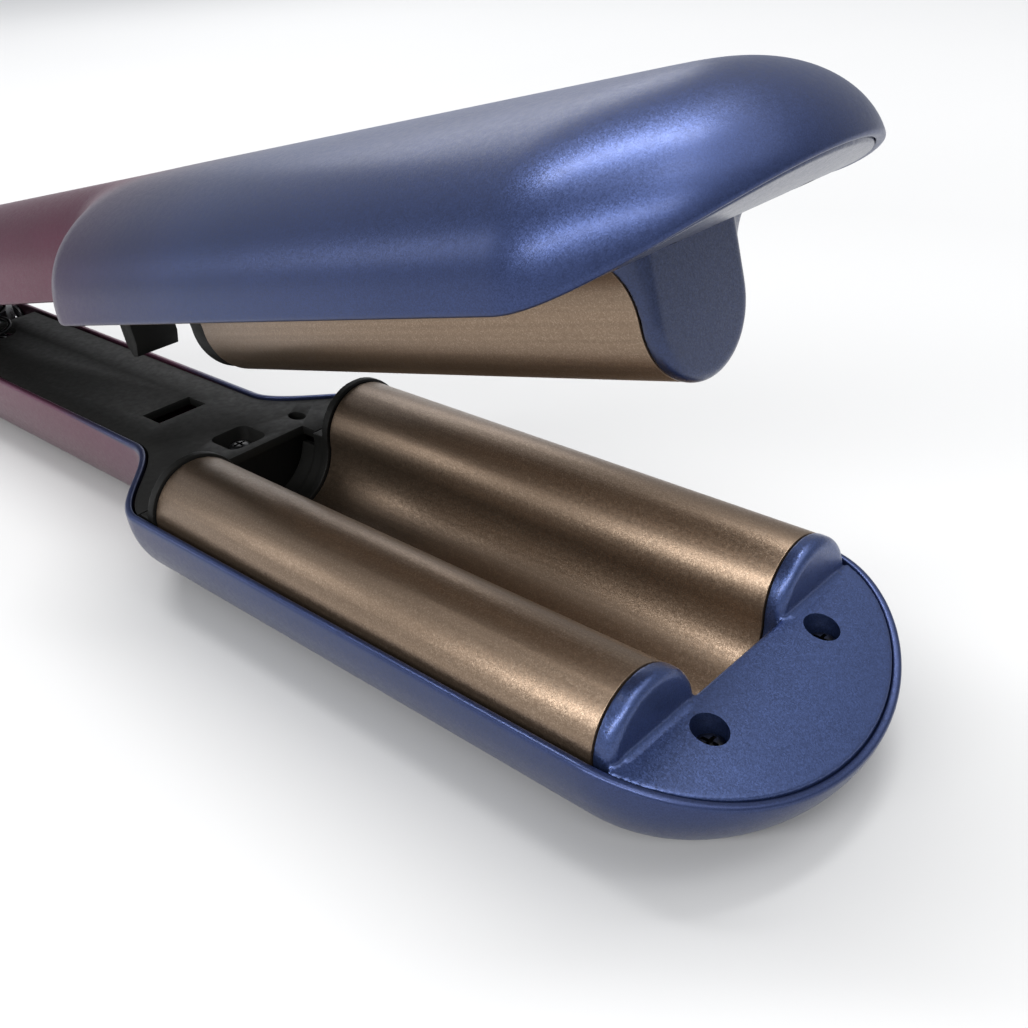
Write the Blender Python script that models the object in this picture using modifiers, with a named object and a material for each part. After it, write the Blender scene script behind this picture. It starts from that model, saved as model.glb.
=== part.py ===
"""Deep-wave hair crimper: two arms on a rear hinge pin, with nesting half-barrel wave plates.

Frame: +X towards the tip, +Y across, +Z up.  The origin is on the flat underside of the lower arm,
below the middle of the wave plates.  Lengths are written in millimetres times MM, so they are metres.
The upper arm is modelled closed and parented to an empty on the hinge axis, which turns it open.
"""
import math

import bmesh
import bpy
from mathutils import Matrix, Vector

MM = 0.001

# Driving dimensions of both arms
HEAD_HALF_WIDTH = 35.8 * MM
HANDLE_HALF_WIDTH = 17.4 * MM
SHELL_WALL = 1.5 * MM
FIT_GAP = 0.3 * MM
LOWER_DEPTH = 22.5 * MM
UPPER_DEPTH = 21.7 * MM
FLAT_CUT = 0.5 * MM
SECTION_POWER = 2.4
LOWER_RIM_Z = LOWER_DEPTH
RIM_GAP = 7.0 * MM
UPPER_RIM_Z = LOWER_RIM_Z + RIM_GAP

# Stations along the arm
REAR_END_X = -232.0 * MM
REAR_ROUND_X = -214.0 * MM
SHOULDER_REAR_X = -90.0 * MM
SHOULDER_FRONT_X = -60.0 * MM
NOSE_START_X = 54.5 * MM
NOSE_LENGTH = 27.2 * MM
NOSE_DROP = 9.2 * MM
NOSE_DROP_POWER = 1.7
NOSE_SPINE_SHARE = 0.28
TIP_ACROSS_POWER = 2.13
TIP_DOWN_POWER = 1.5
REAR_SPINE_SHARE = 0.45

# Wave plates
PLATE_HALF_LENGTH = 55.8 * MM
PLATE_THICKNESS = 1.0 * MM
CREST_OFFSET = 22.44 * MM
CREST_RADIUS = 10.5 * MM
CREST_Z = 20.6 * MM
HAIR_GAP = 0.9 * MM
VALLEY_RADIUS = CREST_OFFSET - CREST_RADIUS
BARREL_RADIUS = VALLEY_RADIUS - HAIR_GAP
CHANNEL_RADIUS = CREST_RADIUS + HAIR_GAP
ARC_STEPS = 20

# Hinge
HINGE_X = -210.0 * MM
HINGE_Z = 17.0 * MM
OPEN_ANGLE = math.radians(12.5)
PIN_RADIUS = 2.0 * MM
PIN_CLEARANCE = 0.06 * MM
PIN_HALF_LENGTH = 14.6 * MM
PIN_CAP_RADIUS = 4.2 * MM
PIN_CAP_HOLE_RADIUS = 4.6 * MM
EAR_RADIUS = 5.0 * MM
EAR_FOOT_HALF = 7.0 * MM
BRACKET_HALF_LENGTH = 9.0 * MM

# Liners
DECK_GAP = 0.55 * MM
DECK_RECESS = 0.6 * MM
DECK_THICKNESS = 2.0 * MM
DECK_REAR_X = -197.0 * MM
DECK_FRONT_X = -61.4 * MM
DECK_STEP_X = -66.2 * MM
FRAME_FRONT_X = -PLATE_HALF_LENGTH - FIT_GAP
FRAME_REAR_X = -61.1 * MM
ARCH_REAR_X = -58.0 * MM
SLOT_CENTRE_X = -99.4 * MM
SLOT_LENGTH = 7.2 * MM
SLOT_WIDTH = 13.0 * MM
TAB_LENGTH = 4.8 * MM
TAB_WIDTH = 11.0 * MM
TAB_TIP_Z = 13.0 * MM
RECESS_X = -73.6 * MM
RECESS_HALF = 4.9 * MM
RECESS_DEPTH = 3.6 * MM
OVAL_X = -71.5 * MM
OVAL_Y = 15.1 * MM
OVAL_HALF_LENGTH = 2.6 * MM
OVAL_HALF_WIDTH = 1.7 * MM
UPPER_SCREW_X = -76.0 * MM

# Screws
SCREW_HEAD_RADIUS = 2.5 * MM
SCREW_HEAD_HEIGHT = 1.8 * MM
SCREW_SHANK_RADIUS = 1.2 * MM
SCREW_HOLE_RADIUS = 1.5 * MM

# Tip caps
TONGUE_FRONT_X = 58.6 * MM
EAR_FRONT_X = 59.4 * MM
LOWER_CAP_START_X = 59.1 * MM
UPPER_CAP_START_X = 59.9 * MM
CAP_SCREW_X = 64.5 * MM
CAP_SCREW_Y = 16.0 * MM
CAP_THICKNESS = 2.0 * MM
CAP_RECESS = 0.25 * MM
POST_RADIUS = 4.6 * MM
COUNTERBORE_RADIUS = 3.0 * MM

# Controls on the back of the upper handle
BACK_Z = UPPER_RIM_Z + UPPER_DEPTH
BUTTON_PLACES = (("power", -197.2 * MM), ("down", -174.5 * MM), ("up", -165.0 * MM))
DISPLAY_X = -186.2 * MM
DISPLAY_LENGTH = 12.0 * MM
DISPLAY_WIDTH = 11.0 * MM
BUTTON_RADIUS = 3.6 * MM
BUTTON_PROUD = 0.7 * MM
BUTTON_GAP = 0.35 * MM
BOARD_REAR_X = -200.8 * MM
BOARD_FRONT_X = -118.0 * MM
BOARD_HALF_WIDTH = 10.5 * MM
BOARD_Z = 41.0 * MM
BOARD_THICKNESS = 1.6 * MM
SWITCH_HALF = 3.0 * MM
SWITCH_HEIGHT = 2.2 * MM
SWITCH_GAP = 0.9 * MM

# Arm spring
SPRING_X = -189.0 * MM
SPRING_RADIUS = 3.6 * MM
SPRING_WIRE_RADIUS = 0.55 * MM
SPRING_COILS = 4
SPRING_LOW_Z = 8.0 * MM
SPRING_HIGH_Z = 32.4 * MM
SPRING_WELL_RADIUS = 4.9 * MM

# Cord swivel, along X from its rear end
GLAND_Z = 11.0 * MM
GLAND_REAR_X = -242.0 * MM
GLAND_FRONT_X = -221.5 * MM
GLAND_NECK_RADIUS = 4.2 * MM
GLAND_OUTER_RADIUS = 5.6 * MM
GLAND_BORE_RADIUS = 3.3 * MM
COLLAR_REAR_X = -232.6 * MM
COLLAR_FRONT_X = -224.0 * MM
COLLAR_RADIUS = 6.0 * MM
COLLAR_BORE_RADIUS = 4.4 * MM

# Heating parts and leads
HEATER_REAR_X = -48.0 * MM
HEATER_FRONT_X = 50.0 * MM
HOLDER_REAR_X = -44.0 * MM
HOLDER_FRONT_X = 48.0 * MM
LEAD_Z = 8.6 * MM

YZ_PLANE = Matrix(((0, 0, 1, 0), (1, 0, 0, 0), (0, 1, 0, 0), (0, 0, 0, 1)))
XZ_PLANE = Matrix(((1, 0, 0, 0), (0, 0, -1, 0), (0, 1, 0, 0), (0, 0, 0, 1)))
XY_PLANE = Matrix.Identity(4)


# ---------------------------------------------------------------- scene helpers

def new_collection(name):
    collection = bpy.data.collections.new(name)
    bpy.context.scene.collection.children.link(collection)
    return collection


for leftover in list(bpy.data.objects):
    bpy.data.objects.remove(leftover, do_unlink=True)
PARTS = new_collection("hair_crimper")
CUTTERS = new_collection("cutters")


def make_material(name, color, roughness, metallic=0.0):
    material = bpy.data.materials.new(name)
    material.use_nodes = True
    shader = material.node_tree.nodes["Principled BSDF"]
    shader.inputs["Base Color"].default_value = (*color, 1.0)
    shader.inputs["Roughness"].default_value = roughness
    shader.inputs["Metallic"].default_value = metallic
    return material


FINISHES = {
    "blue_paint": ((0.075, 0.110, 0.260), 0.32, 0.6),
    "bronze_coat": ((0.230, 0.150, 0.100), 0.38, 0.8),
    "black_plastic": ((0.018, 0.018, 0.018), 0.6, 0.0),
    "steel": ((0.55, 0.55, 0.56), 0.35, 1.0),
    "black_screw": ((0.03, 0.03, 0.03), 0.4, 0.8),
    "ceramic": ((0.75, 0.72, 0.66), 0.6, 0.0),
    "carrier": ((0.12, 0.10, 0.08), 0.7, 0.0),
    "board_green": ((0.02, 0.14, 0.06), 0.5, 0.0),
    "smoked_window": ((0.02, 0.02, 0.025), 0.1, 0.0),
    "lead_red": ((0.45, 0.03, 0.02), 0.5, 0.0),
    "spring_steel": ((0.45, 0.45, 0.47), 0.3, 1.0),
}


def link(obj, finish=None, pivot=None):
    """Put an object in the parts, with a finish, or in the cutters, without one."""
    if finish is None:
        CUTTERS.objects.link(obj)
        obj.hide_render = True
        obj.display_type = "WIRE"
    else:
        PARTS.objects.link(obj)
        obj.data.materials.clear()
        obj.data.materials.append(make_material(obj.name + "_finish", *FINISHES[finish]))
    if pivot is not None:
        obj.parent = pivot
        obj.matrix_parent_inverse = Matrix.Translation(-pivot.location)
    return obj


def object_from_bmesh(name, bm, finish=None, pivot=None):
    bmesh.ops.recalc_face_normals(bm, faces=bm.faces)
    mesh = bpy.data.meshes.new(name)
    bm.to_mesh(mesh)
    bm.free()
    return link(bpy.data.objects.new(name, mesh), finish, pivot)


def smooth(obj, angle=35.0):
    obj.data.shade_smooth()
    obj.data.set_sharp_from_angle(angle=math.radians(angle))
    return obj


def box(name, low, high, finish=None, pivot=None):
    bm = bmesh.new()
    bmesh.ops.create_cube(bm, size=1.0)
    size = [b - a for a, b in zip(low, high)]
    middle = Vector([(a + b) / 2 for a, b in zip(low, high)])
    bmesh.ops.scale(bm, vec=size, verts=bm.verts)
    bmesh.ops.translate(bm, vec=middle, verts=bm.verts)
    return object_from_bmesh(name, bm, finish, pivot)


def cylinder(name, radius, start, end, finish=None, pivot=None, segments=28, end_radius=None):
    """A capped cylinder, or a cone with end_radius, from one point to another."""
    start = Vector(start)
    end = Vector(end)
    turn = Vector((0, 0, 1)).rotation_difference(end - start).to_matrix().to_4x4()
    bm = bmesh.new()
    bmesh.ops.create_cone(
        bm, cap_ends=True, segments=segments, radius1=radius,
        radius2=radius if end_radius is None else end_radius, depth=(end - start).length,
        matrix=Matrix.Translation((start + end) / 2) @ turn)
    return smooth(object_from_bmesh(name, bm, finish, pivot))


def curve_to_mesh(curve_object, name, finish, pivot):
    bpy.context.view_layer.update()
    evaluated = curve_object.evaluated_get(bpy.context.evaluated_depsgraph_get())
    mesh = bpy.data.meshes.new_from_object(evaluated)
    bm = bmesh.new()
    bm.from_mesh(mesh)
    bmesh.ops.remove_doubles(bm, verts=bm.verts, dist=0.001 * MM)
    bmesh.ops.transform(bm, matrix=curve_object.matrix_world, verts=bm.verts)
    bpy.data.objects.remove(curve_object, do_unlink=True)
    return object_from_bmesh(name, bm, finish, pivot)


def slab(name, outline, low, high, plane, finish=None, pivot=None):
    """A closed outline in a plane, made solid between two distances along the plane's normal."""
    curve = bpy.data.curves.new(name + "_outline", "CURVE")
    curve.dimensions = "2D"
    curve.fill_mode = "BOTH"
    curve.extrude = (high - low) / 2
    spline = curve.splines.new("POLY")
    spline.points.add(len(outline) - 1)
    for point, (a, b) in zip(spline.points, outline):
        point.co = (a, b, 0.0, 1.0)
    spline.use_cyclic_u = True
    flat = bpy.data.objects.new(name + "_outline", curve)
    PARTS.objects.link(flat)
    flat.matrix_world = plane @ Matrix.Translation((0, 0, (low + high) / 2))
    return curve_to_mesh(flat, name, finish, pivot)


def wire(name, points, radius, finish, pivot=None, resolution=2):
    """A round wire through a list of points."""
    curve = bpy.data.curves.new(name + "_path", "CURVE")
    curve.dimensions = "3D"
    curve.bevel_depth = radius
    curve.bevel_resolution = resolution
    curve.use_fill_caps = True
    spline = curve.splines.new("POLY")
    spline.points.add(len(points) - 1)
    for point, place in zip(spline.points, points):
        point.co = (*place, 1.0)
    path = bpy.data.objects.new(name + "_path", curve)
    PARTS.objects.link(path)
    return smooth(curve_to_mesh(path, name, finish, pivot))


def boolean(target, other, operation):
    modifier = target.modifiers.new(operation.lower() + "_" + other.name, "BOOLEAN")
    modifier.operation = operation
    modifier.object = other
    modifier.solver = "EXACT"


def cut(target, *cutters):
    for cutter in cutters:
        boolean(target, cutter, "DIFFERENCE")


def join(target, *others):
    for other in others:
        boolean(target, other, "UNION")


# ---------------------------------------------------------------- shape rules

def smoothstep(low, high, value):
    t = min(max((value - low) / (high - low), 0.0), 1.0)
    return t * t * (3.0 - 2.0 * t)


def half_width(x):
    """Half the arm's width at the rim: rounded rear, handle, shoulder, head and elliptical nose."""
    if x < REAR_ROUND_X:
        t = (REAR_ROUND_X - x) / (REAR_ROUND_X - REAR_END_X)
        return HANDLE_HALF_WIDTH * math.sqrt(max(1.0 - t * t, 0.0))
    if x > NOSE_START_X:
        t = (x - NOSE_START_X) / NOSE_LENGTH
        return HEAD_HALF_WIDTH * math.sqrt(max(1.0 - t * t, 0.0))
    share = smoothstep(SHOULDER_REAR_X, SHOULDER_FRONT_X, x)
    return HANDLE_HALF_WIDTH + (HEAD_HALF_WIDTH - HANDLE_HALF_WIDTH) * share


def inset_half_width(x, inset):
    """The half width of a line that runs inside the rim, inset measured square to the rim."""
    step = 0.1 * MM
    slope = (half_width(x + step) - half_width(x - step)) / (2 * step)
    return half_width(x) - inset * math.sqrt(1.0 + slope * slope)


def nose_drop(x):
    """How far the nose's rim curves back from the plane of the rest of the rim."""
    t = min(max((x - NOSE_START_X) / NOSE_LENGTH, 0.0), 1.0)
    return NOSE_DROP * t ** NOSE_DROP_POWER


def rim_stations():
    """Places along the rim, close together where it turns."""
    stations = []
    for i in range(9):
        angle = math.radians(90.0 * (1.0 - i / 8))
        stations.append(REAR_ROUND_X - (REAR_ROUND_X - REAR_END_X) * math.sin(angle))
    for i in range(1, 5):
        stations.append(REAR_ROUND_X + (SHOULDER_REAR_X - REAR_ROUND_X) * i / 5)
    for i in range(9):
        stations.append(SHOULDER_REAR_X + (SHOULDER_FRONT_X - SHOULDER_REAR_X) * i / 8)
    for i in range(1, 4):
        stations.append(SHOULDER_FRONT_X + (NOSE_START_X - SHOULDER_FRONT_X) * i / 4)
    for i in range(13):
        stations.append(NOSE_START_X + NOSE_LENGTH * math.sin(math.radians(90.0 * i / 12)))
    return stations


def shell_point(x, t, depth):
    """A point on a casing's outside, t from 0 at the rim to 1 at the spine: x, y, distance from rim."""
    spine_x = x
    if x > NOSE_START_X:
        spine_x = NOSE_START_X + (x - NOSE_START_X) * NOSE_SPINE_SHARE
    if x < REAR_ROUND_X:
        spine_x = REAR_ROUND_X + (x - REAR_ROUND_X) * REAR_SPINE_SHARE
    nose_share = max(x - NOSE_START_X, 0.0) / NOSE_LENGTH
    across_power = SECTION_POWER + (TIP_ACROSS_POWER - SECTION_POWER) * nose_share ** 2
    down_power = SECTION_POWER + (TIP_DOWN_POWER - SECTION_POWER) * nose_share ** 2
    angle = math.radians(90.0 * t)
    across = math.cos(angle) ** (2.0 / across_power) if t < 1.0 else 0.0
    down = math.sin(angle) ** (2.0 / down_power) if t > 0.0 else 0.0
    drop = nose_drop(x)
    height = drop + (depth - drop) * down
    return spine_x + (x - spine_x) * across, half_width(x) * across, height


def arm_shell(name, is_upper, finish, pivot=None, steps=9):
    """The painted casing of one arm: half of its outside, mirrored and given its wall."""
    bm = bmesh.new()
    rows = []
    for x in rim_stations():
        row = []
        for i in range(steps + 1):
            if is_upper:
                px, py, height = shell_point(x, i / steps, UPPER_DEPTH)
                z = UPPER_RIM_Z + height
            else:
                px, py, height = shell_point(x, i / steps, LOWER_DEPTH + FLAT_CUT)
                z = max(LOWER_RIM_Z - height, 0.0)
            row.append(bm.verts.new((px, py, z)))
        rows.append(row)
    for row, after in zip(rows, rows[1:]):
        for i in range(steps):
            corners = [row[i], after[i], after[i + 1], row[i + 1]]
            if is_upper:
                corners.reverse()
            bm.faces.new(corners)
    bmesh.ops.remove_doubles(bm, verts=bm.verts, dist=0.005 * MM)
    mesh = bpy.data.meshes.new(name)
    bm.to_mesh(mesh)
    bm.free()
    shell = link(bpy.data.objects.new(name, mesh), finish, pivot)
    mirror = shell.modifiers.new("both_sides", "MIRROR")
    mirror.use_axis = (False, True, False)
    mirror.merge_threshold = 0.05 * MM
    wall = shell.modifiers.new("wall", "SOLIDIFY")
    wall.thickness = SHELL_WALL
    wall.offset = -1.0
    wall.use_even_offset = True
    return smooth(shell)


def arc(centre_y, centre_z, radius, start_deg, end_deg, steps=ARC_STEPS):
    points = []
    for i in range(steps + 1):
        angle = math.radians(start_deg + (end_deg - start_deg) * i / steps)
        points.append((centre_y + radius * math.cos(angle), centre_z + radius * math.sin(angle)))
    return points


def wave_line(grow, flank_z):
    """The two crests and the valley seen end on, each surface moved outwards by grow."""
    line = [(-CREST_OFFSET - CREST_RADIUS - grow, flank_z)]
    line += arc(-CREST_OFFSET, CREST_Z, CREST_RADIUS + grow, 180, 0)
    line += arc(0.0, CREST_Z, VALLEY_RADIUS - grow, 180, 360)[1:-1]
    line += arc(CREST_OFFSET, CREST_Z, CREST_RADIUS + grow, 180, 0)
    line.append((CREST_OFFSET + CREST_RADIUS + grow, flank_z))
    return line


def barrel_line(grow, flange_z):
    """The barrel and its two side channels seen end on, moved towards the hair by grow."""
    radius = CHANNEL_RADIUS - grow
    rise = math.degrees(math.asin((flange_z - CREST_Z) / radius))
    edge = HEAD_HALF_WIDTH - SHELL_WALL - FIT_GAP
    line = [(-edge, flange_z)]
    line += arc(-CREST_OFFSET, CREST_Z, radius, 180 - rise, 0)
    line += arc(0.0, CREST_Z, BARREL_RADIUS + grow, 180, 360)[1:-1]
    line += arc(CREST_OFFSET, CREST_Z, radius, 180, rise)
    line.append((edge, flange_z))
    return line


def nose_cap_half_width(x):
    t = (x - NOSE_START_X) / (NOSE_LENGTH - SHELL_WALL - FIT_GAP)
    return (HEAD_HALF_WIDTH - SHELL_WALL - FIT_GAP) * math.sqrt(max(1.0 - t * t, 0.0))


def nose_cap(name, is_upper, start_x, finish, pivot=None):
    """The D-shaped cap: rows across the nose, following the rim's curve, given a thickness."""
    reach = NOSE_LENGTH - SHELL_WALL - FIT_GAP
    first = math.asin((start_x - NOSE_START_X) / reach)
    bm = bmesh.new()
    rows = []
    row_count = 14
    for i in range(row_count + 1):
        angle = first + (math.radians(87.0) - first) * i / row_count
        x = NOSE_START_X + reach * math.sin(angle)
        width = nose_cap_half_width(x)
        depth = nose_drop(x) + CAP_RECESS
        z = UPPER_RIM_Z + depth if is_upper else LOWER_RIM_Z - depth
        rows.append([bm.verts.new((x, width * side, z)) for side in (-1, -0.5, 0, 0.5, 1)])
    for row, after in zip(rows, rows[1:]):
        for i in range(4):
            corners = [row[i], after[i], after[i + 1], row[i + 1]]
            if is_upper:
                corners.reverse()
            bm.faces.new(corners)
    mesh = bpy.data.meshes.new(name)
    bm.to_mesh(mesh)
    bm.free()
    cap = link(bpy.data.objects.new(name, mesh), finish, pivot)
    wall = cap.modifiers.new("wall", "SOLIDIFY")
    wall.thickness = CAP_THICKNESS
    wall.offset = -1.0
    return cap


def rounded_square(centre_x, half, count=24):
    """A square with large corner radii about a point on the centre line, seen from above."""
    corner = 0.45 * half
    outline = []
    for i in range(count):
        angle = 2 * math.pi * (i + 0.5) / count
        sign_x = math.copysign(1.0, math.cos(angle))
        sign_y = math.copysign(1.0, math.sin(angle))
        outline.append((centre_x + sign_x * (half - corner) + corner * math.cos(angle),
                        sign_y * (half - corner) + corner * math.sin(angle)))
    return outline


def deck_outline():
    """The liner's outline: parallel to the casing, with a step at the front, seen from above."""
    inset = SHELL_WALL + DECK_GAP
    step_half_width = VALLEY_RADIUS + 0.6 * MM
    count = 10
    side = [(DECK_REAR_X, inset_half_width(DECK_REAR_X, inset))]
    for i in range(count + 1):
        x = SHOULDER_REAR_X + (DECK_FRONT_X - SHOULDER_REAR_X) * i / count
        side.append((x, inset_half_width(x, inset)))
    near = [(x, -y) for x, y in side]
    notch = [(DECK_FRONT_X, -step_half_width), (DECK_STEP_X, -step_half_width),
             (DECK_STEP_X, step_half_width), (DECK_FRONT_X, step_half_width)]
    return near + notch + list(reversed(side))


# ---------------------------------------------------------------- shared sub-parts

def screw(name, x, y, head_z, direction, pivot=None, length=8.0 * MM):
    """A pan-head screw with a cross recess; direction is +1 for a head that faces up."""
    head = cylinder(name, SCREW_HEAD_RADIUS, (x, y, head_z - SCREW_HEAD_HEIGHT * direction), (x, y, head_z),
                    "black_screw", pivot, segments=20)
    shank = cylinder(name + "_shank", SCREW_SHANK_RADIUS, (x, y, head_z - direction * length),
                     (x, y, head_z - direction * MM), None, pivot, segments=12)
    join(head, shank)
    arm = 1.4 * MM
    bar = 0.35 * MM
    low_z, high_z = sorted((head_z - direction * 0.8 * MM, head_z + direction * 0.5 * MM))
    for index, (dx, dy) in enumerate(((arm, bar), (bar, arm))):
        cut(head, box(f"{name}_recess_{index}", (x - dx, y - dy, low_z), (x + dx, y + dy, high_z),
                      None, pivot))
    return head


def cap_post(name, x, y, base_z, is_upper, pivot=None, count=28):
    """A round post whose far end follows the cap's slope, halfway into the cap's thickness."""
    bm = bmesh.new()
    base = []
    tip = []
    for i in range(count):
        angle = 2 * math.pi * i / count
        px = x + POST_RADIUS * math.cos(angle)
        py = y + POST_RADIUS * math.sin(angle)
        depth = nose_drop(px) + CAP_RECESS + CAP_THICKNESS / 2
        base.append(bm.verts.new((px, py, base_z)))
        tip.append(bm.verts.new((px, py, UPPER_RIM_Z + depth if is_upper else LOWER_RIM_Z - depth)))
    for i in range(count):
        j = (i + 1) % count
        bm.faces.new((base[i], base[j], tip[j], tip[i]))
    bm.faces.new(base)
    bm.faces.new(tip)
    return object_from_bmesh(name, bm, None, pivot)


def screw_post(cap, name, x, y, base_z, floor_z, is_upper, pivot=None):
    """A post behind a cap with a wide hole for the screw's head and a narrow one for its shank."""
    join(cap, cap_post(name + "_post", x, y, base_z, is_upper, pivot))
    outside_z = UPPER_RIM_Z - 3 * MM if is_upper else LOWER_RIM_Z + 3 * MM
    behind_z = base_z + 3 * MM if is_upper else base_z - 3 * MM
    cut(cap, cylinder(name + "_head_hole", COUNTERBORE_RADIUS, (x, y, floor_z), (x, y, outside_z), None,
                      pivot))
    cut(cap, cylinder(name + "_shank_hole", SCREW_HOLE_RADIUS, (x, y, behind_z),
                      (x, y, (floor_z + outside_z) / 2), None, pivot, segments=16))


# ---------------------------------------------------------------- lower arm

def lower_shell():
    shell = arm_shell("lower_shell", False, "blue_paint")
    reach = HANDLE_HALF_WIDTH + 5 * MM
    cut(shell, cylinder("hinge_side_hole", PIN_CAP_HOLE_RADIUS, (HINGE_X, -reach, HINGE_Z),
                        (HINGE_X, reach, HINGE_Z)))
    cut(shell, cylinder("gland_hole", COLLAR_RADIUS + FIT_GAP, (REAR_END_X - 10 * MM, 0, GLAND_Z),
                        (REAR_END_X + 10 * MM, 0, GLAND_Z)))


def lower_liner():
    top = LOWER_RIM_Z - DECK_RECESS
    low = top - DECK_THICKNESS
    liner = slab("lower_liner", deck_outline(), low, top, XY_PLANE, "black_plastic")
    wall_half = VALLEY_RADIUS + 1.3 * MM
    join(liner, box("liner_front_wall", (DECK_STEP_X - 1.9 * MM, -wall_half, 8 * MM),
                    (DECK_STEP_X - 0.2 * MM, wall_half, top - 0.5 * MM)))
    cut(liner, box("guide_slot", (SLOT_CENTRE_X - SLOT_LENGTH / 2, -SLOT_WIDTH / 2, low - 5 * MM),
                   (SLOT_CENTRE_X + SLOT_LENGTH / 2, SLOT_WIDTH / 2, top + 5 * MM)))
    floor_z = top - RECESS_DEPTH
    cup_half = RECESS_HALF + 1.3 * MM
    join(liner, slab("recess_cup", rounded_square(RECESS_X, cup_half), floor_z - 1.6 * MM, top - 1.0 * MM,
                     XY_PLANE))
    cut(liner, slab("recess_hollow", rounded_square(RECESS_X, RECESS_HALF), floor_z, top + 3 * MM, XY_PLANE))
    cut(liner, cylinder("liner_screw_hole", SCREW_HOLE_RADIUS, (RECESS_X, 0, low - 9 * MM),
                        (RECESS_X, 0, top), segments=16))
    for label, side in (("near", -1), ("far", 1)):
        oval = [(OVAL_X + OVAL_HALF_LENGTH * math.cos(a), side * OVAL_Y + OVAL_HALF_WIDTH * math.sin(a))
                for a in (2 * math.pi * i / 20 for i in range(20))]
        cut(liner, slab("oval_hole_" + label, oval, low - 3 * MM, top + 3 * MM, XY_PLANE))
    cut(liner, cylinder("spring_well", SPRING_WELL_RADIUS, (SPRING_X, 0, low - 3 * MM),
                        (SPRING_X, 0, top + 3 * MM)))
    screw("lower_liner_screw", RECESS_X, 0, floor_z + FIT_GAP + SCREW_HEAD_HEIGHT, 1, length=9 * MM)


def wall_below_crests(grow, base_z):
    """The wave line closed underneath, as the outline of a wall across the lower arm."""
    shoulder = [(29 * MM, 13 * MM), (20 * MM, base_z)]
    return wave_line(grow, 19 * MM) + shoulder + [(-y, z) for y, z in reversed(shoulder)]


def lower_end_frame():
    """A thin arch that borders the wave plate, and a level part behind it that meets the liner."""
    base_z = 8 * MM
    frame = slab("lower_end_frame", wall_below_crests(0.6 * MM, base_z), ARCH_REAR_X, FRAME_FRONT_X,
                 YZ_PLANE, "black_plastic")
    top = LOWER_RIM_Z - DECK_RECESS
    edge = CREST_OFFSET + CREST_RADIUS + 0.4 * MM
    valley = VALLEY_RADIUS - 0.5 * MM
    near = [(-20 * MM, base_z), (-29 * MM, 13 * MM), (-edge, 19 * MM), (-edge, top), (-valley, top)]
    far = [(-y, z) for y, z in reversed(near)]
    join(frame, slab("frame_base", near + arc(0, CREST_Z, valley, 180, 360) + far, FRAME_REAR_X,
                     ARCH_REAR_X + MM, YZ_PLANE))
    trough = arc(0, CREST_Z, VALLEY_RADIUS - 0.2 * MM, 190, 350)
    trough += arc(0, CREST_Z, VALLEY_RADIUS + 1.4 * MM, 350, 190)
    join(frame, slab("valley_trough", trough, DECK_STEP_X + FIT_GAP, FRAME_REAR_X + MM, YZ_PLANE))
    smooth(frame)


def lower_wave_plate():
    flank_z = CREST_Z - 3 * MM
    outer = wave_line(0.0, flank_z)
    inner = wave_line(-PLATE_THICKNESS, flank_z)
    plate = slab("lower_wave_plate", outer + list(reversed(inner)), -PLATE_HALF_LENGTH,
                 PLATE_HALF_LENGTH, YZ_PLANE, "bronze_coat")
    smooth(plate)


def lower_tip_cap():
    cap = nose_cap("lower_tip_cap", False, LOWER_CAP_START_X, "blue_paint")
    join(cap, slab("ear_wall", wall_below_crests(0.1 * MM, 7 * MM), PLATE_HALF_LENGTH + FIT_GAP, EAR_FRONT_X,
                   YZ_PLANE))
    skirt_x = TONGUE_FRONT_X + FIT_GAP / 2
    skirt_half = VALLEY_RADIUS + 2 * MM
    join(cap, box("valley_end_wall", (skirt_x, -skirt_half, 7.3 * MM),
                  (skirt_x + 2 * MM, skirt_half, LOWER_RIM_Z - 1.5 * MM)))
    floor_z = 16 * MM
    for label, side in (("near", -1), ("far", 1)):
        y = side * CAP_SCREW_Y
        screw_post(cap, "lower_tip_" + label, CAP_SCREW_X, y, 11 * MM, floor_z, False)
        screw("lower_tip_screw_" + label, CAP_SCREW_X, y, floor_z + SCREW_HEAD_HEIGHT + 0.4 * MM, 1)


def lower_heating():
    """Flat ceramic heaters under the crests, their holder, the thermal fuse and the thermistor."""
    low_z = 18.9 * MM
    half = 5.4 * MM
    for label, side in (("near", -1), ("far", 1)):
        y = side * CREST_OFFSET
        box("lower_heater_" + label, (HEATER_REAR_X, y - half, low_z),
            (HEATER_FRONT_X, y + half, low_z + 4.4 * MM), "ceramic")
    right = [(14.0, 4.2), (26.0, 10.5), (28.5, 18.5), (16.4, 18.5), (15.5, 9.2), (13.0, 6.4)]
    right = [(y * MM, z * MM) for y, z in right]
    left = [(-y, z) for y, z in reversed(right)]
    slab("lower_heater_holder", right + left, HOLDER_REAR_X, HOLDER_FRONT_X, YZ_PLANE, "carrier")
    fuse_z = 26.2 * MM
    cylinder("lower_thermal_fuse", 1.9 * MM, (-12 * MM, -CREST_OFFSET, fuse_z),
             (2 * MM, -CREST_OFFSET, fuse_z), "steel", segments=20)
    bead_z = 25.2 * MM
    cylinder("thermistor", 1.2 * MM, (8 * MM, CREST_OFFSET, bead_z), (13 * MM, CREST_OFFSET, bead_z),
             "ceramic", segments=16, end_radius=0.8 * MM)


# ---------------------------------------------------------------- controls

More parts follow.
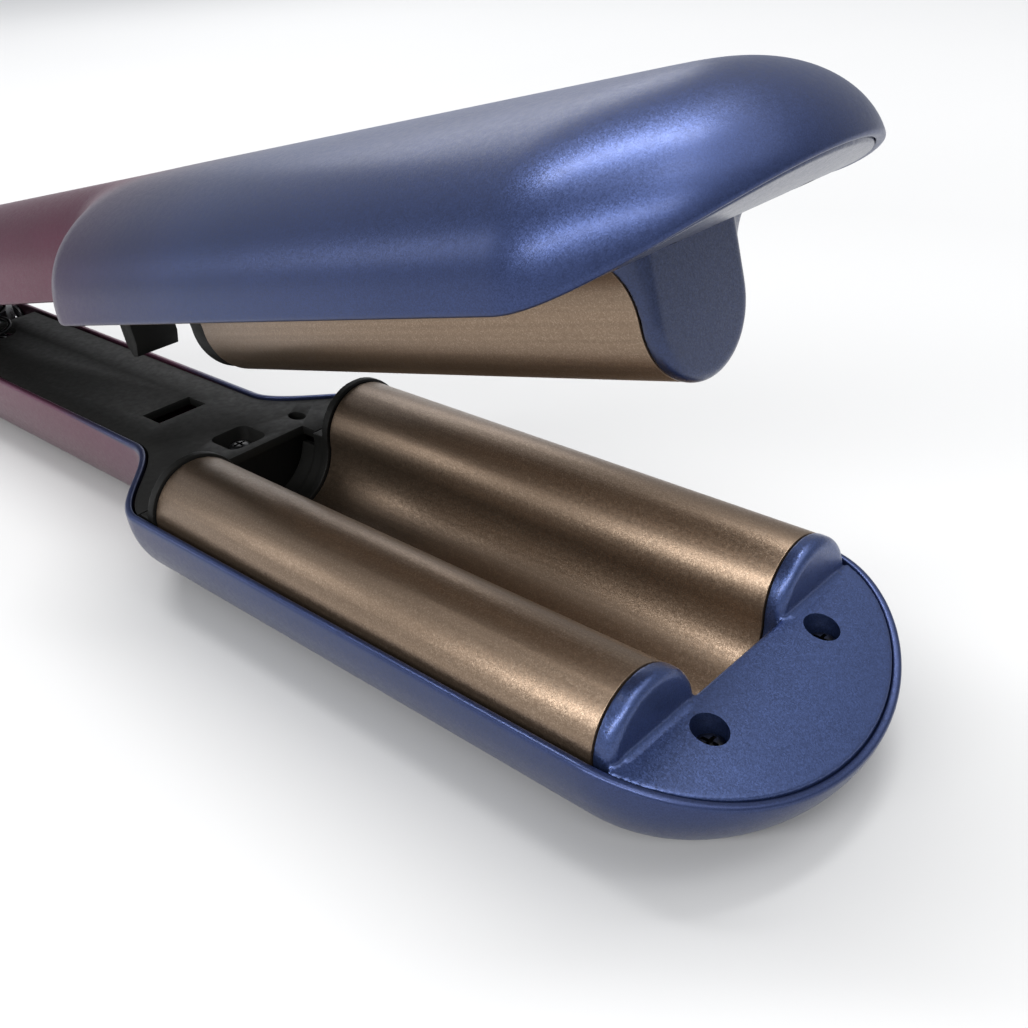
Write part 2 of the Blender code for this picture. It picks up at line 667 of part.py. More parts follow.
def controls(pivot):
    """The board, its three switches, the buttons over them and the display window."""
    board_top = BOARD_Z + BOARD_THICKNESS
    box("control_board", (BOARD_REAR_X, -BOARD_HALF_WIDTH, BOARD_Z),
        (BOARD_FRONT_X, BOARD_HALF_WIDTH, board_top), "board_green", pivot)
    switch_low = board_top + FIT_GAP
    switch_top = switch_low + SWITCH_HEIGHT
    for label, x in BUTTON_PLACES:
        box(label + "_switch", (x - SWITCH_HALF, -SWITCH_HALF, switch_low),
            (x + SWITCH_HALF, SWITCH_HALF, switch_top), "black_plastic", pivot)
        cylinder(label + "_button", BUTTON_RADIUS, (x, 0, switch_top + SWITCH_GAP),
                 (x, 0, BACK_Z + BUTTON_PROUD), "black_plastic", pivot)
    box("display_window", (DISPLAY_X - DISPLAY_LENGTH / 2, -DISPLAY_WIDTH / 2, BACK_Z - 2.6 * MM),
        (DISPLAY_X + DISPLAY_LENGTH / 2, DISPLAY_WIDTH / 2, BACK_Z - 0.5 * MM), "smoked_window", pivot)


def upper_shell(pivot):
    shell = arm_shell("upper_shell", True, "blue_paint", pivot)
    low_z = BACK_Z - 5 * MM
    high_z = BACK_Z + 5 * MM
    for label, x in BUTTON_PLACES:
        cut(shell, cylinder(label + "_button_hole", BUTTON_RADIUS + BUTTON_GAP, (x, 0, low_z), (x, 0, high_z),
                            None, pivot))
    half_length = DISPLAY_LENGTH / 2 + FIT_GAP
    half_depth = DISPLAY_WIDTH / 2 + FIT_GAP
    cut(shell, box("display_opening", (DISPLAY_X - half_length, -half_depth, low_z),
                   (DISPLAY_X + half_length, half_depth, high_z), None, pivot))


# ---------------------------------------------------------------- hinge

def ear_outline(foot_z):
    """A bracket ear seen from the side: a straight foot and a round end about the pin."""
    below = foot_z < HINGE_Z
    start = 0 if below else 180
    side = 1 if below else -1
    foot = [(HINGE_X - side * EAR_FOOT_HALF, foot_z), (HINGE_X + side * EAR_FOOT_HALF, foot_z)]
    return arc(HINGE_X, HINGE_Z, EAR_RADIUS, start, start + 180, steps=12) + foot


def hinge_bracket(name, ear_low, ear_high, base_low, base_high, pivot=None):
    """A base plate across the arm with two ears that the pin goes through."""
    base_half_width = ear_high - 0.4 * MM
    bracket = box(name, (HINGE_X - BRACKET_HALF_LENGTH, -base_half_width, base_low),
                  (HINGE_X + BRACKET_HALF_LENGTH, base_half_width, base_high), "steel", pivot)
    outline = ear_outline((base_low + base_high) / 2)
    for label, side in (("near", -1), ("far", 1)):
        low, high = sorted((-side * ear_low, -side * ear_high))
        join(bracket, slab(f"{name}_ear_{label}", outline, low, high, XZ_PLANE, None, pivot))
    reach = ear_high + 5 * MM
    cut(bracket, cylinder(name + "_bore", PIN_RADIUS + PIN_CLEARANCE, (HINGE_X, -reach, HINGE_Z),
                          (HINGE_X, reach, HINGE_Z), None, pivot))


def hinge(pivot):
    hinge_bracket("lower_hinge_bracket", 5.6 * MM, 7.9 * MM, 3.6 * MM, 5.4 * MM)
    hinge_bracket("upper_hinge_bracket", 10.5 * MM, 12.8 * MM, 39.0 * MM, 41.0 * MM, pivot)
    cylinder("hinge_pin", PIN_RADIUS, (HINGE_X, -PIN_HALF_LENGTH, HINGE_Z),
             (HINGE_X, PIN_HALF_LENGTH, HINGE_Z), "steel")
    for label, side in (("near", -1), ("far", 1)):
        cylinder("hinge_cap_" + label, PIN_CAP_RADIUS, (HINGE_X, side * 15.0 * MM, HINGE_Z),
                 (HINGE_X, side * 17.5 * MM, HINGE_Z), "black_plastic", end_radius=PIN_CAP_RADIUS - 0.4 * MM)


def arm_spring():
    """A compression coil between the two decks, just in front of the hinge."""
    points = []
    count = SPRING_COILS * 12
    for i in range(count + 1):
        angle = 2 * math.pi * SPRING_COILS * i / count
        z = SPRING_LOW_Z + (SPRING_HIGH_Z - SPRING_LOW_Z) * i / count
        points.append((SPRING_X + SPRING_RADIUS * math.cos(angle), SPRING_RADIUS * math.sin(angle), z))
    wire("arm_spring", points, SPRING_WIRE_RADIUS, "spring_steel")


# ---------------------------------------------------------------- cord swivel and leads

def gland_cylinder(name, radius, rear_x, front_x, finish=None):
    return cylinder(name, radius, (rear_x, 0, GLAND_Z), (front_x, 0, GLAND_Z), finish)


def cord_swivel():
    """A fixed collar and the gland that turns in it, with a flange inside and a wide part outside."""
    collar = gland_cylinder("gland_collar", COLLAR_RADIUS, COLLAR_REAR_X, COLLAR_FRONT_X, "black_plastic")
    cut(collar, gland_cylinder("collar_bore", COLLAR_BORE_RADIUS, COLLAR_REAR_X - 8 * MM,
                               COLLAR_FRONT_X + 4 * MM))
    gland = gland_cylinder("cord_gland", GLAND_NECK_RADIUS, GLAND_REAR_X, GLAND_FRONT_X, "black_plastic")
    join(gland, gland_cylinder("gland_flange", GLAND_OUTER_RADIUS, COLLAR_FRONT_X + 0.4 * MM,
                               GLAND_FRONT_X - 0.3 * MM))
    join(gland, gland_cylinder("gland_outer", GLAND_OUTER_RADIUS, GLAND_REAR_X + 0.5 * MM,
                               COLLAR_REAR_X - 0.6 * MM))
    cut(gland, gland_cylinder("gland_bore", GLAND_BORE_RADIUS, GLAND_REAR_X - 8 * MM, GLAND_FRONT_X + 6 * MM))


def route(*places):
    """Places given in millimetres, as points in metres."""
    return [Vector(place) * MM for place in places]


def leads(pivot):
    lead_z = LEAD_Z / MM
    wire("inlet_lead", route((-220, 0, GLAND_Z / MM), (-212, 0, lead_z + 0.6), (-202, -1.5, lead_z),
                             (-197, -5, lead_z)), 1.4 * MM, "lead_red")
    for label, side in (("near", -1), ("far", 1)):
        y = side * 7.4
        end_y = side * 20.0
        wire("heater_lead_" + label, route(
            (-190, y, lead_z), (-120, y, lead_z), (-98, y, 7), (-80, y, 5), (-66, y * 1.3, 4.6),
            (-58, y * 1.5, 5.2), (-53, y * 2.1, 8), (-50.6, end_y, 14), (-50.2, end_y, 19.5)),
            1.0 * MM, "lead_red")
    wire("upper_heater_lead", route(
        (-116, 0, 40), (-90, 0, 40), (-70, 0, 43), (-56, 0, 42), (-50.5, 0, 32), (-50.2, 0, 22)),
        1.2 * MM, "lead_red", pivot)


# ---------------------------------------------------------------- upper arm

def upper_liner(pivot):
    """The upper deck and the guide tab under it."""
    low = UPPER_RIM_Z + DECK_RECESS
    high = low + DECK_THICKNESS
    liner = slab("upper_liner", deck_outline(), low, high, XY_PLANE, "black_plastic", pivot)
    half = TAB_LENGTH / 2
    tip_half = half - 1.4 * MM
    top = low + MM
    taper_z = TAB_TIP_Z + 3 * MM
    tab = [(SLOT_CENTRE_X - half, top), (SLOT_CENTRE_X - half, taper_z),
           (SLOT_CENTRE_X - tip_half, TAB_TIP_Z), (SLOT_CENTRE_X + tip_half, TAB_TIP_Z),
           (SLOT_CENTRE_X + half, taper_z), (SLOT_CENTRE_X + half, top)]
    join(liner, slab("guide_tab", tab, -TAB_WIDTH / 2, TAB_WIDTH / 2, XZ_PLANE, None, pivot))
    cut(liner, cylinder("upper_liner_screw_hole", SCREW_HOLE_RADIUS, (UPPER_SCREW_X, 0, low - 5 * MM),
                        (UPPER_SCREW_X, 0, high + 5 * MM), None, pivot, segments=16))
    screw("upper_liner_screw", UPPER_SCREW_X, 0, low - SCREW_HEAD_HEIGHT - 0.1 * MM, -1, pivot, length=9 * MM)


def upper_end_frame(pivot):
    shoulder = [(32.5 * MM, 32 * MM), (27 * MM, 40 * MM)]
    outline = barrel_line(-0.5 * MM, 29 * MM) + shoulder + [(-y, z) for y, z in reversed(shoulder)]
    frame = slab("upper_end_frame", outline, FRAME_REAR_X, FRAME_FRONT_X, YZ_PLANE, "black_plastic", pivot)
    smooth(frame)


def upper_wave_plate(pivot):
    flange_z = UPPER_RIM_Z - 0.8 * MM
    outer = barrel_line(0.0, flange_z)
    inner = barrel_line(-PLATE_THICKNESS, flange_z + PLATE_THICKNESS)
    plate = slab("upper_wave_plate", outer + list(reversed(inner)), -PLATE_HALF_LENGTH,
                 PLATE_HALF_LENGTH, YZ_PLANE, "bronze_coat", pivot)
    smooth(plate)


def upper_tip_cap(pivot):
    """The D-shaped cap, the tongue that ends the barrel, and a ledge over the room for the lower ears.

    The tongue's rear follows the barrel into its side channels; its front doesn't.
    """
    cap = nose_cap("upper_tip_cap", True, UPPER_CAP_START_X, "blue_paint", pivot)
    rear_x = PLATE_HALF_LENGTH + FIT_GAP
    grow = 0.1 * MM
    tongue_top = 36 * MM
    radius = BARREL_RADIUS + grow
    front = [(-radius, tongue_top)] + arc(0, CREST_Z, radius, 180, 360) + [(radius, tongue_top)]
    rear = [(-CREST_OFFSET, tongue_top)]
    rear += arc(-CREST_OFFSET, CREST_Z, CHANNEL_RADIUS - grow, 90, 0)
    rear += arc(0, CREST_Z, radius, 180, 360)[1:-1]
    rear += arc(CREST_OFFSET, CREST_Z, CHANNEL_RADIUS - grow, 180, 90)
    rear.append((CREST_OFFSET, tongue_top))
    join(cap, slab("tongue_rear", rear, rear_x, TONGUE_FRONT_X - 1.4 * MM, YZ_PLANE, None, pivot))
    join(cap, slab("tongue_front", front, rear_x + 0.6 * MM, TONGUE_FRONT_X, YZ_PLANE, None, pivot))
    bridge_half = 10.5 * MM
    join(cap, box("tongue_bridge", (TONGUE_FRONT_X - MM, -bridge_half, UPPER_RIM_Z + 0.6 * MM),
                  (UPPER_CAP_START_X + 2 * MM, bridge_half, UPPER_RIM_Z + 4.5 * MM), None, pivot))
    ledge_front_x = UPPER_CAP_START_X + 2.2 * MM
    ledge = [(rear_x, 33.2 * MM), (rear_x, -33.2 * MM),
             (ledge_front_x, -31.3 * MM), (ledge_front_x, 31.3 * MM)]
    ledge_z = CREST_Z + CREST_RADIUS + 2 * FIT_GAP
    join(cap, slab("ear_ledge", ledge, ledge_z, ledge_z + 1.4 * MM, XY_PLANE, None, pivot))
    floor_z = UPPER_RIM_Z + 6.5 * MM
    for label, side in (("near", -1), ("far", 1)):
        y = side * CAP_SCREW_Y
        screw_post(cap, "upper_tip_" + label, CAP_SCREW_X, y, UPPER_RIM_Z + 11.5 * MM, floor_z, True, pivot)
        screw("upper_tip_screw_" + label, CAP_SCREW_X, y, floor_z - SCREW_HEAD_HEIGHT - 0.4 * MM, -1, pivot)


def upper_heating(pivot):
    """The heater in the barrel, its holder and the thermal fuse."""
    half = 5.6 * MM
    low_z = 15 * MM
    high_z = 19.4 * MM
    box("upper_heater", (HEATER_REAR_X, -half, low_z), (HEATER_FRONT_X, half, high_z), "ceramic", pivot)
    right = [(5.6, 19.8), (7.5, 26.0), (7.5, 38.0), (24.0, 38.0), (24.0, 40.0)]
    right = [(y * MM, z * MM) for y, z in right]
    left = [(-y, z) for y, z in reversed(right)]
    slab("upper_heater_holder", right + left, HOLDER_REAR_X, HOLDER_FRONT_X, YZ_PLANE, "carrier", pivot)
    fuse_z = 12.9 * MM
    cylinder("upper_thermal_fuse", 1.4 * MM, (-10 * MM, 0, fuse_z), (4 * MM, 0, fuse_z), "steel", pivot,
             segments=20)


# ---------------------------------------------------------------- assembly

def build():
    pivot = bpy.data.objects.new("upper_arm_pivot", None)
    bpy.context.scene.collection.objects.link(pivot)
    pivot.location = (HINGE_X, 0, HINGE_Z)
    pivot.rotation_euler = (0, -OPEN_ANGLE, 0)
    lower_shell()
    lower_liner()
    lower_end_frame()
    lower_wave_plate()
    lower_tip_cap()
    lower_heating()
    controls(pivot)
    hinge(pivot)
    upper_shell(pivot)
    arm_spring()
    cord_swivel()
    leads(pivot)
    upper_liner(pivot)
    upper_end_frame(pivot)
    upper_wave_plate(pivot)
    upper_tip_cap(pivot)
    upper_heating(pivot)


build()
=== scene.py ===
"""The look of a deep-wave hair crimper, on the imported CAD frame.

Frame: +X towards the tip, +Y across, +Z up, in metres.  Lengths are written in millimetres times MM.
Pieces of the upper arm are made as the arm lies when it is closed, and then turned open.
"""

import math

import bmesh
import bpy
from mathutils import Matrix, Vector


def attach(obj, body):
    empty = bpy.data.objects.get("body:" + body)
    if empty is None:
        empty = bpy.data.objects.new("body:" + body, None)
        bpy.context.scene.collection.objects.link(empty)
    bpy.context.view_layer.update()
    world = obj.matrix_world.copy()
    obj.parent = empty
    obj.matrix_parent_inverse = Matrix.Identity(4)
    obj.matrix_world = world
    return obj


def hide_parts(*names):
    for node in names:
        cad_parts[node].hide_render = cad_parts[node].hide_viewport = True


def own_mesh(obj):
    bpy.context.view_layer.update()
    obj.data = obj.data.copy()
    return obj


MM = 0.001

# Both arms, as the CAD has them
HEAD_HALF_WIDTH = 35.8 * MM
HANDLE_HALF_WIDTH = 17.4 * MM
SHELL_WALL = 1.5 * MM
FIT_GAP = 0.3 * MM
LOWER_DEPTH = 22.5 * MM
UPPER_DEPTH = 21.7 * MM
FLAT_CUT = 0.5 * MM
SECTION_POWER = 2.4
LOWER_RIM_Z = LOWER_DEPTH
UPPER_RIM_Z = LOWER_RIM_Z + 7.0 * MM
REAR_END_X = -232.0 * MM
REAR_ROUND_X = -214.0 * MM
SHOULDER_REAR_X = -90.0 * MM
SHOULDER_FRONT_X = -60.0 * MM
NOSE_START_X = 54.5 * MM
NOSE_LENGTH = 27.2 * MM
NOSE_DROP = 9.2 * MM
NOSE_DROP_POWER = 1.7
NOSE_SPINE_SHARE = 0.28
TIP_ACROSS_POWER = 2.13
TIP_DOWN_POWER = 1.5
REAR_SPINE_SHARE = 0.45

# Wave plates
PLATE_HALF_LENGTH = 55.8 * MM
PLATE_THICKNESS = 1.0 * MM
CREST_OFFSET = 22.44 * MM
CREST_RADIUS = 10.5 * MM
CREST_Z = 20.6 * MM
HAIR_GAP = 0.9 * MM
VALLEY_RADIUS = CREST_OFFSET - CREST_RADIUS
BARREL_RADIUS = VALLEY_RADIUS - HAIR_GAP
CHANNEL_RADIUS = CREST_RADIUS + HAIR_GAP

# Hinge, liners, caps, controls and cord swivel
HINGE_X = -210.0 * MM
HINGE_Z = 17.0 * MM
OPEN_ANGLE = math.radians(12.5)
DECK_GAP = 0.55 * MM
DECK_RECESS = 0.6 * MM
DECK_THICKNESS = 2.0 * MM
DECK_REAR_X = -197.0 * MM
DECK_FRONT_X = -61.4 * MM
DECK_STEP_X = -66.2 * MM
FRAME_FRONT_X = -PLATE_HALF_LENGTH - FIT_GAP
FRAME_REAR_X = -61.1 * MM
ARCH_REAR_X = -58.0 * MM
FRAME_VOXEL = 0.26 * MM
SLOT_X = -99.4 * MM
SLOT_HALF_LENGTH = 3.6 * MM
SLOT_HALF_WIDTH = 6.5 * MM
TAB_HALF_LENGTH = 2.4 * MM
TAB_HALF_WIDTH = 5.5 * MM
TAB_TIP_Z = 13.0 * MM
RECESS_X = -73.6 * MM
RECESS_HALF = 4.9 * MM
RECESS_DEPTH = 3.6 * MM
OVAL_X = -71.5 * MM
OVAL_Y = 15.1 * MM
OVAL_HALF_LENGTH = 2.6 * MM
OVAL_HALF_WIDTH = 1.7 * MM
SCREW_HOLE_RADIUS = 1.5 * MM
UPPER_LINER_SCREW_X = -76.0 * MM
TONGUE_FRONT_X = 58.6 * MM
EAR_FRONT_X = 59.4 * MM
LOWER_CAP_START_X = 59.1 * MM
UPPER_CAP_START_X = 59.9 * MM
CAP_SCREW_X = 64.5 * MM
CAP_SCREW_Y = 16.0 * MM
CAP_RECESS = 0.25 * MM
CAP_SEAM = 0.12 * MM
CAP_THICKNESS = 2.0 * MM
CAP_VOXEL = 0.28 * MM
POST_RADIUS = 4.6 * MM
COUNTERBORE_RADIUS = 3.0 * MM
BACK_Z = UPPER_RIM_Z + UPPER_DEPTH
BUTTON_XS = {"power": -197.2 * MM, "down": -174.5 * MM, "up": -165.0 * MM}
BUTTON_RADIUS = 3.6 * MM
BUTTON_PROUD = 0.7 * MM
BUTTON_GAP = 0.35 * MM
BUTTON_LOW_Z = 46.0 * MM
DISPLAY_X = -186.2 * MM
DISPLAY_LENGTH = 12.0 * MM
DISPLAY_WIDTH = 11.0 * MM
DISPLAY_CORNER = 1.5 * MM
SPRING_X = -189.0 * MM
SPRING_RADIUS = 3.6 * MM
SPRING_LOW_Z = 8.0 * MM
SPRING_HIGH_Z = 32.4 * MM
SPRING_WIRE = 0.55 * MM
SPRING_TURNS = 5
PIN_HOLE_RADIUS = 4.6 * MM
PIN_CAP_RADIUS = 4.2 * MM
GLAND_Z = 11.0 * MM
GLAND_HOLE_RADIUS = 6.2 * MM
COLLAR_X = -232.6 * MM
COLLAR_BORE = 4.4 * MM
GLAND_X = -242.0 * MM
GLAND_BORE = 3.3 * MM

# Edges
LIP_RADIUS = 1.0 * MM
INNER_LIP_RADIUS = 0.3 * MM
EAR_ROUND = 1.7 * MM

# How finely curves are drawn
ARC_STEPS = 72
LIP_STEPS = 8
CASING_COLUMNS = 40

YZ_PLANE = Matrix(((0, 0, 1, 0), (1, 0, 0, 0), (0, 1, 0, 0), (0, 0, 0, 1)))
XZ_PLANE = Matrix(((1, 0, 0, 0), (0, 0, -1, 0), (0, 1, 0, 0), (0, 0, 0, 1)))
XY_PLANE = Matrix.Identity(4)
HINGE_PLACE = Matrix.Translation((HINGE_X, 0, HINGE_Z))
OPENED = HINGE_PLACE @ Matrix.Rotation(-OPEN_ANGLE, 4, "Y") @ HINGE_PLACE.inverted()

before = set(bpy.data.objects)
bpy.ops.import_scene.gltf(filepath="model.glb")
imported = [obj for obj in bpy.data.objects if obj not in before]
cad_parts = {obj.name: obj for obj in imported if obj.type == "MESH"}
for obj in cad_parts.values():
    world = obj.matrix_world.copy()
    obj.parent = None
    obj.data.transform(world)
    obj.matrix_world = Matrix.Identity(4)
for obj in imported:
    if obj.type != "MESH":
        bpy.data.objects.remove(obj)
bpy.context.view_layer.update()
SCRATCH = bpy.data.collections.new("scratch")


# ---------------------------------------------------------------- materials

# Where the paint's colour changes, and how far ahead the rim is
FADE_REAR_X = -125.0 * MM
FADE_FRONT_X = 0.0
RIM_FADE = 0.32

# Flakes per metre
PAINT_CELL = 6500
CAP_CELL = 5200
BRONZE_CELL = 5600


class Nodes:
    """A material's node tree with short ways to add and join nodes.

    The place is the object's own, or with opened, the same point of the upper arm when it is closed.
    """

    def __init__(self, name, opened=False):
        self.material = bpy.data.materials.new(name)
        self.material.use_nodes = True
        self.tree = self.material.node_tree
        self.shader = self.tree.nodes["Principled BSDF"]
        self.place = self.add("ShaderNodeTexCoord").outputs["Object"]
        if opened:
            closed = self.add("ShaderNodeVectorRotate", rotation_type="Y_AXIS")
            closed.inputs["Center"].default_value = (HINGE_X, 0.0, HINGE_Z)
            closed.inputs["Angle"].default_value = OPEN_ANGLE
            self.join(self.place, closed.inputs["Vector"])
            self.place = closed.outputs["Vector"]

    def add(self, kind, **settings):
        node = self.tree.nodes.new(kind)
        for key, value in settings.items():
            setattr(node, key, value)
        return node

    def join(self, output, socket):
        self.tree.links.new(output, socket)

    def set(self, **values):
        for key, value in values.items():
            self.shader.inputs[key.replace("_", " ")].default_value = value

    def noise(self, scale, detail=2.0, place=None):
        node = self.add("ShaderNodeTexNoise")
        node.inputs["Scale"].default_value = scale
        node.inputs["Detail"].default_value = detail
        self.join(place or self.place, node.inputs["Vector"])
        return node.outputs["Fac"]

    def cells(self, scale):
        node = self.add("ShaderNodeTexVoronoi")
        node.inputs["Scale"].default_value = scale
        self.join(self.place, node.inputs["Vector"])
        return node.outputs["Color"]

    def stretched(self, scale):
        node = self.add("ShaderNodeMapping")
        node.inputs["Scale"].default_value = scale
        self.join(self.place, node.inputs["Vector"])
        return node.outputs["Vector"]

    def remap(self, value, low, high, to_low, to_high):
        node = self.add("ShaderNodeMapRange")
        for key, number in (("From Min", low), ("From Max", high), ("To Min", to_low), ("To Max", to_high)):
            node.inputs[key].default_value = number
        self.join(value, node.inputs["Value"])
        return node.outputs["Result"]

    def part_of(self, color, channel):
        node = self.add("ShaderNodeSeparateColor")
        self.join(color, node.inputs["Color"])
        return node.outputs[channel]

    def ramp(self, value, stops):
        node = self.add("ShaderNodeValToRGB")
        ramp = node.color_ramp
        while len(ramp.elements) < len(stops):
            ramp.elements.new(0.5)
        for element, (position, color) in zip(ramp.elements, stops):
            element.position = position
            element.color = (*color, 1.0)
        self.join(value, node.inputs["Fac"])
        return node.outputs["Color"]

    def tint(self, color, factor):
        """A colour multiplied by a grey factor."""
        node = self.add("ShaderNodeVectorMath", operation="SCALE")
        self.join(color, node.inputs[0])
        self.join(factor, node.inputs["Scale"])
        return node.outputs["Vector"]

    def bump(self, height, distance):
        node = self.add("ShaderNodeBump")
        node.inputs["Strength"].default_value = 1.0
        node.inputs["Distance"].default_value = distance
        self.join(height, node.inputs["Height"])
        return node.outputs["Normal"]

    def flakes(self, scale, tilt):
        """The surface normal, tilted a little at random in each small cell."""
        centred = self.add("ShaderNodeVectorMath", operation="SUBTRACT")
        centred.inputs[1].default_value = (0.5, 0.5, 0.5)
        self.join(self.cells(scale), centred.inputs[0])
        scaled = self.add("ShaderNodeVectorMath", operation="SCALE")
        scaled.inputs["Scale"].default_value = tilt
        self.join(centred.outputs["Vector"], scaled.inputs[0])
        normal = self.add("ShaderNodeNewGeometry").outputs["Normal"]
        added = self.add("ShaderNodeVectorMath", operation="ADD")
        self.join(normal, added.inputs[0])
        self.join(scaled.outputs["Vector"], added.inputs[1])
        unit = self.add("ShaderNodeVectorMath", operation="NORMALIZE")
        self.join(added.outputs["Vector"], unit.inputs[0])
        return unit.outputs["Vector"]


def flake_paint(name, stops, tilt, cell, coat=0.22, opened=False, rim_z=None):
    """Satin paint with fine metallic flake, whose colour changes along the arm, and earlier on its rim."""
    n = Nodes(name, opened)
    n.set(Metallic=0.85, Coat_Weight=coat, Coat_Roughness=0.25)
    along = n.add("ShaderNodeSeparateXYZ")
    n.join(n.place, along.inputs["Vector"])
    share = n.remap(along.outputs["X"], FADE_REAR_X, FADE_FRONT_X, 0.0, 1.0)
    if rim_z is not None:
        ahead = n.remap(along.outputs["Z"], rim_z - 1.6 * MM, rim_z - 0.4 * MM, 0.0, RIM_FADE)
        total = n.add("ShaderNodeMath", operation="ADD")
        n.join(share, total.inputs[0])
        n.join(ahead, total.inputs[1])
        share = total.outputs["Value"]
    color = n.ramp(share, stops)
    sparkle = n.remap(n.part_of(n.cells(cell), "Red"), 0.0, 1.0, 0.80, 1.20)
    cloud = n.remap(n.noise(60, 3.0), 0.3, 0.7, 0.95, 1.05)
    n.join(n.tint(n.tint(color, sparkle), cloud), n.shader.inputs["Base Color"])
    n.join(n.remap(n.noise(900, 3.0), 0.3, 0.7, 0.34, 0.40), n.shader.inputs["Roughness"])
    n.join(n.flakes(cell, tilt), n.shader.inputs["Normal"])
    return n.material


def bronze_coat(name, opened=False):
    """A satin bronze ceramic coat with fine sparkle and faint drawing lines along the plate."""
    n = Nodes(name, opened)
    n.set(Metallic=0.92, Coat_Weight=0.12, Coat_Roughness=0.3)
    sparkle = n.part_of(n.cells(BRONZE_CELL), "Green")
    color = n.ramp(sparkle, [(0.0, (0.200, 0.140, 0.095)), (0.75, (0.242, 0.175, 0.123)),
                             (1.0, (0.300, 0.225, 0.163))])
    lines = n.noise(1.0, 2.0, place=n.stretched((6, 1500, 1500)))
    cloud = n.remap(lines, 0.3, 0.7, 0.93, 1.07)
    n.join(n.tint(color, cloud), n.shader.inputs["Base Color"])
    n.join(n.remap(n.noise(1400, 2.0), 0.3, 0.7, 0.33, 0.42), n.shader.inputs["Roughness"])
    n.join(n.flakes(BRONZE_CELL, 0.07), n.shader.inputs["Normal"])
    return n.material


def moulded_plastic(name, color, roughness=0.55, grain=0.012, shine=0.5):
    """Matte moulded plastic with a fine spark-eroded grain."""
    n = Nodes(name)
    n.set(Specular_IOR_Level=shine)
    shade = n.remap(n.noise(35, 3.0), 0.3, 0.7, 0.0, 1.0)
    darker = tuple(c * 0.85 for c in color)
    lighter = tuple(c * 1.15 for c in color)
    n.join(n.ramp(shade, [(0.0, darker), (1.0, lighter)]), n.shader.inputs["Base Color"])
    n.join(n.remap(n.noise(700, 3.0), 0.3, 0.7, roughness - 0.06, roughness + 0.06),
           n.shader.inputs["Roughness"])
    n.join(n.bump(n.noise(5200, 2.0), grain * MM), n.shader.inputs["Normal"])
    return n.material


def plain_metal(name, color, roughness=0.3, grain=0.006):
    """Bare or blackened metal with small turning marks."""
    n = Nodes(name)
    n.set(Metallic=1.0)
    shade = n.remap(n.noise(120, 3.0), 0.3, 0.7, 0.0, 1.0)
    darker = tuple(c * 0.8 for c in color)
    n.join(n.ramp(shade, [(0.0, darker), (1.0, color)]), n.shader.inputs["Base Color"])
    n.join(n.remap(n.noise(400, 3.0), 0.3, 0.7, roughness - 0.05, roughness + 0.12),
           n.shader.inputs["Roughness"])
    n.join(n.bump(n.noise(2500, 2.0), grain * MM), n.shader.inputs["Normal"])
    return n.material


def smoked_window(name):
    """A dark gloss window with the faintest ripple."""
    n = Nodes(name)
    n.set(Coat_Weight=1.0, Coat_Roughness=0.03)
    n.join(n.ramp(n.noise(25), [(0.3, (0.006, 0.006, 0.008)), (0.7, (0.010, 0.010, 0.013))]),
           n.shader.inputs["Base Color"])
    n.join(n.remap(n.noise(200), 0.3, 0.7, 0.08, 0.14), n.shader.inputs["Roughness"])
    return n.material


PLUM = (0.085, 0.012, 0.036)
MAUVE = (0.100, 0.031, 0.060)
VIOLET = (0.052, 0.036, 0.076)
INDIGO = (0.034, 0.039, 0.098)
BLUE = (0.031, 0.047, 0.124)
# The lower tip cap's blue is lighter than the casing's blue. This is painted light: it stands in for light
# that the lamps don't throw on the cap's upward face.
CAP_BLUE_PAINTED_LIGHTER = (0.042, 0.067, 0.174)
TONGUE_BLUE = (0.022, 0.034, 0.088)
GRADIENT = [(0.10, PLUM), (0.32, MAUVE), (0.41, VIOLET), (0.50, INDIGO), (0.80, BLUE)]
UPPER_GRADIENT = [(0.24, PLUM), (0.36, MAUVE), (0.50, VIOLET), (0.70, INDIGO), (0.90, BLUE)]

# The lower cap lies wholly at the front end of this ramp, so all of it takes the lighter cap blue, which is
# painted light on the cap.
CAP_GRADIENT = [(0.0, BLUE), (1.0, CAP_BLUE_PAINTED_LIGHTER)]
UPPER_CAP_GRADIENT = [(0.0, BLUE), (1.0, TONGUE_BLUE)]

PAINT = flake_paint("gradient_paint", GRADIENT, 0.08, PAINT_CELL, rim_z=LOWER_RIM_Z)
UPPER_PAINT = flake_paint("upper_gradient_paint", UPPER_GRADIENT, 0.08, PAINT_CELL, coat=0.12, opened=True)
CAP_PAINT = flake_paint("cap_paint", CAP_GRADIENT, 0.14, CAP_CELL, coat=0.35)
UPPER_CAP_PAINT = flake_paint("upper_cap_paint", UPPER_CAP_GRADIENT, 0.14, CAP_CELL, coat=0.5, opened=True)
BRONZE = bronze_coat("bronze_coat")
UPPER_BRONZE = bronze_coat("upper_bronze_coat", opened=True)
BLACK_PLASTIC = moulded_plastic("black_plastic", (0.007, 0.007, 0.0065), 0.55, shine=0.15)
BUTTON_PLASTIC = moulded_plastic("button_plastic", (0.028, 0.027, 0.032), 0.42)
WINDOW = smoked_window("window")
STEEL = plain_metal("steel", (0.56, 0.56, 0.57))
BLACK_STEEL = plain_metal("black_steel", (0.05, 0.05, 0.052), 0.32)
CERAMIC = moulded_plastic("ceramic", (0.74, 0.71, 0.65), 0.7)
CARRIER = moulded_plastic("carrier", (0.12, 0.10, 0.08), 0.7)
BOARD = moulded_plastic("board", (0.02, 0.14, 0.06), 0.4)
SLEEVE = moulded_plastic("silicone_sleeve", (0.42, 0.03, 0.02), 0.5)


# ---------------------------------------------------------------- mesh helpers

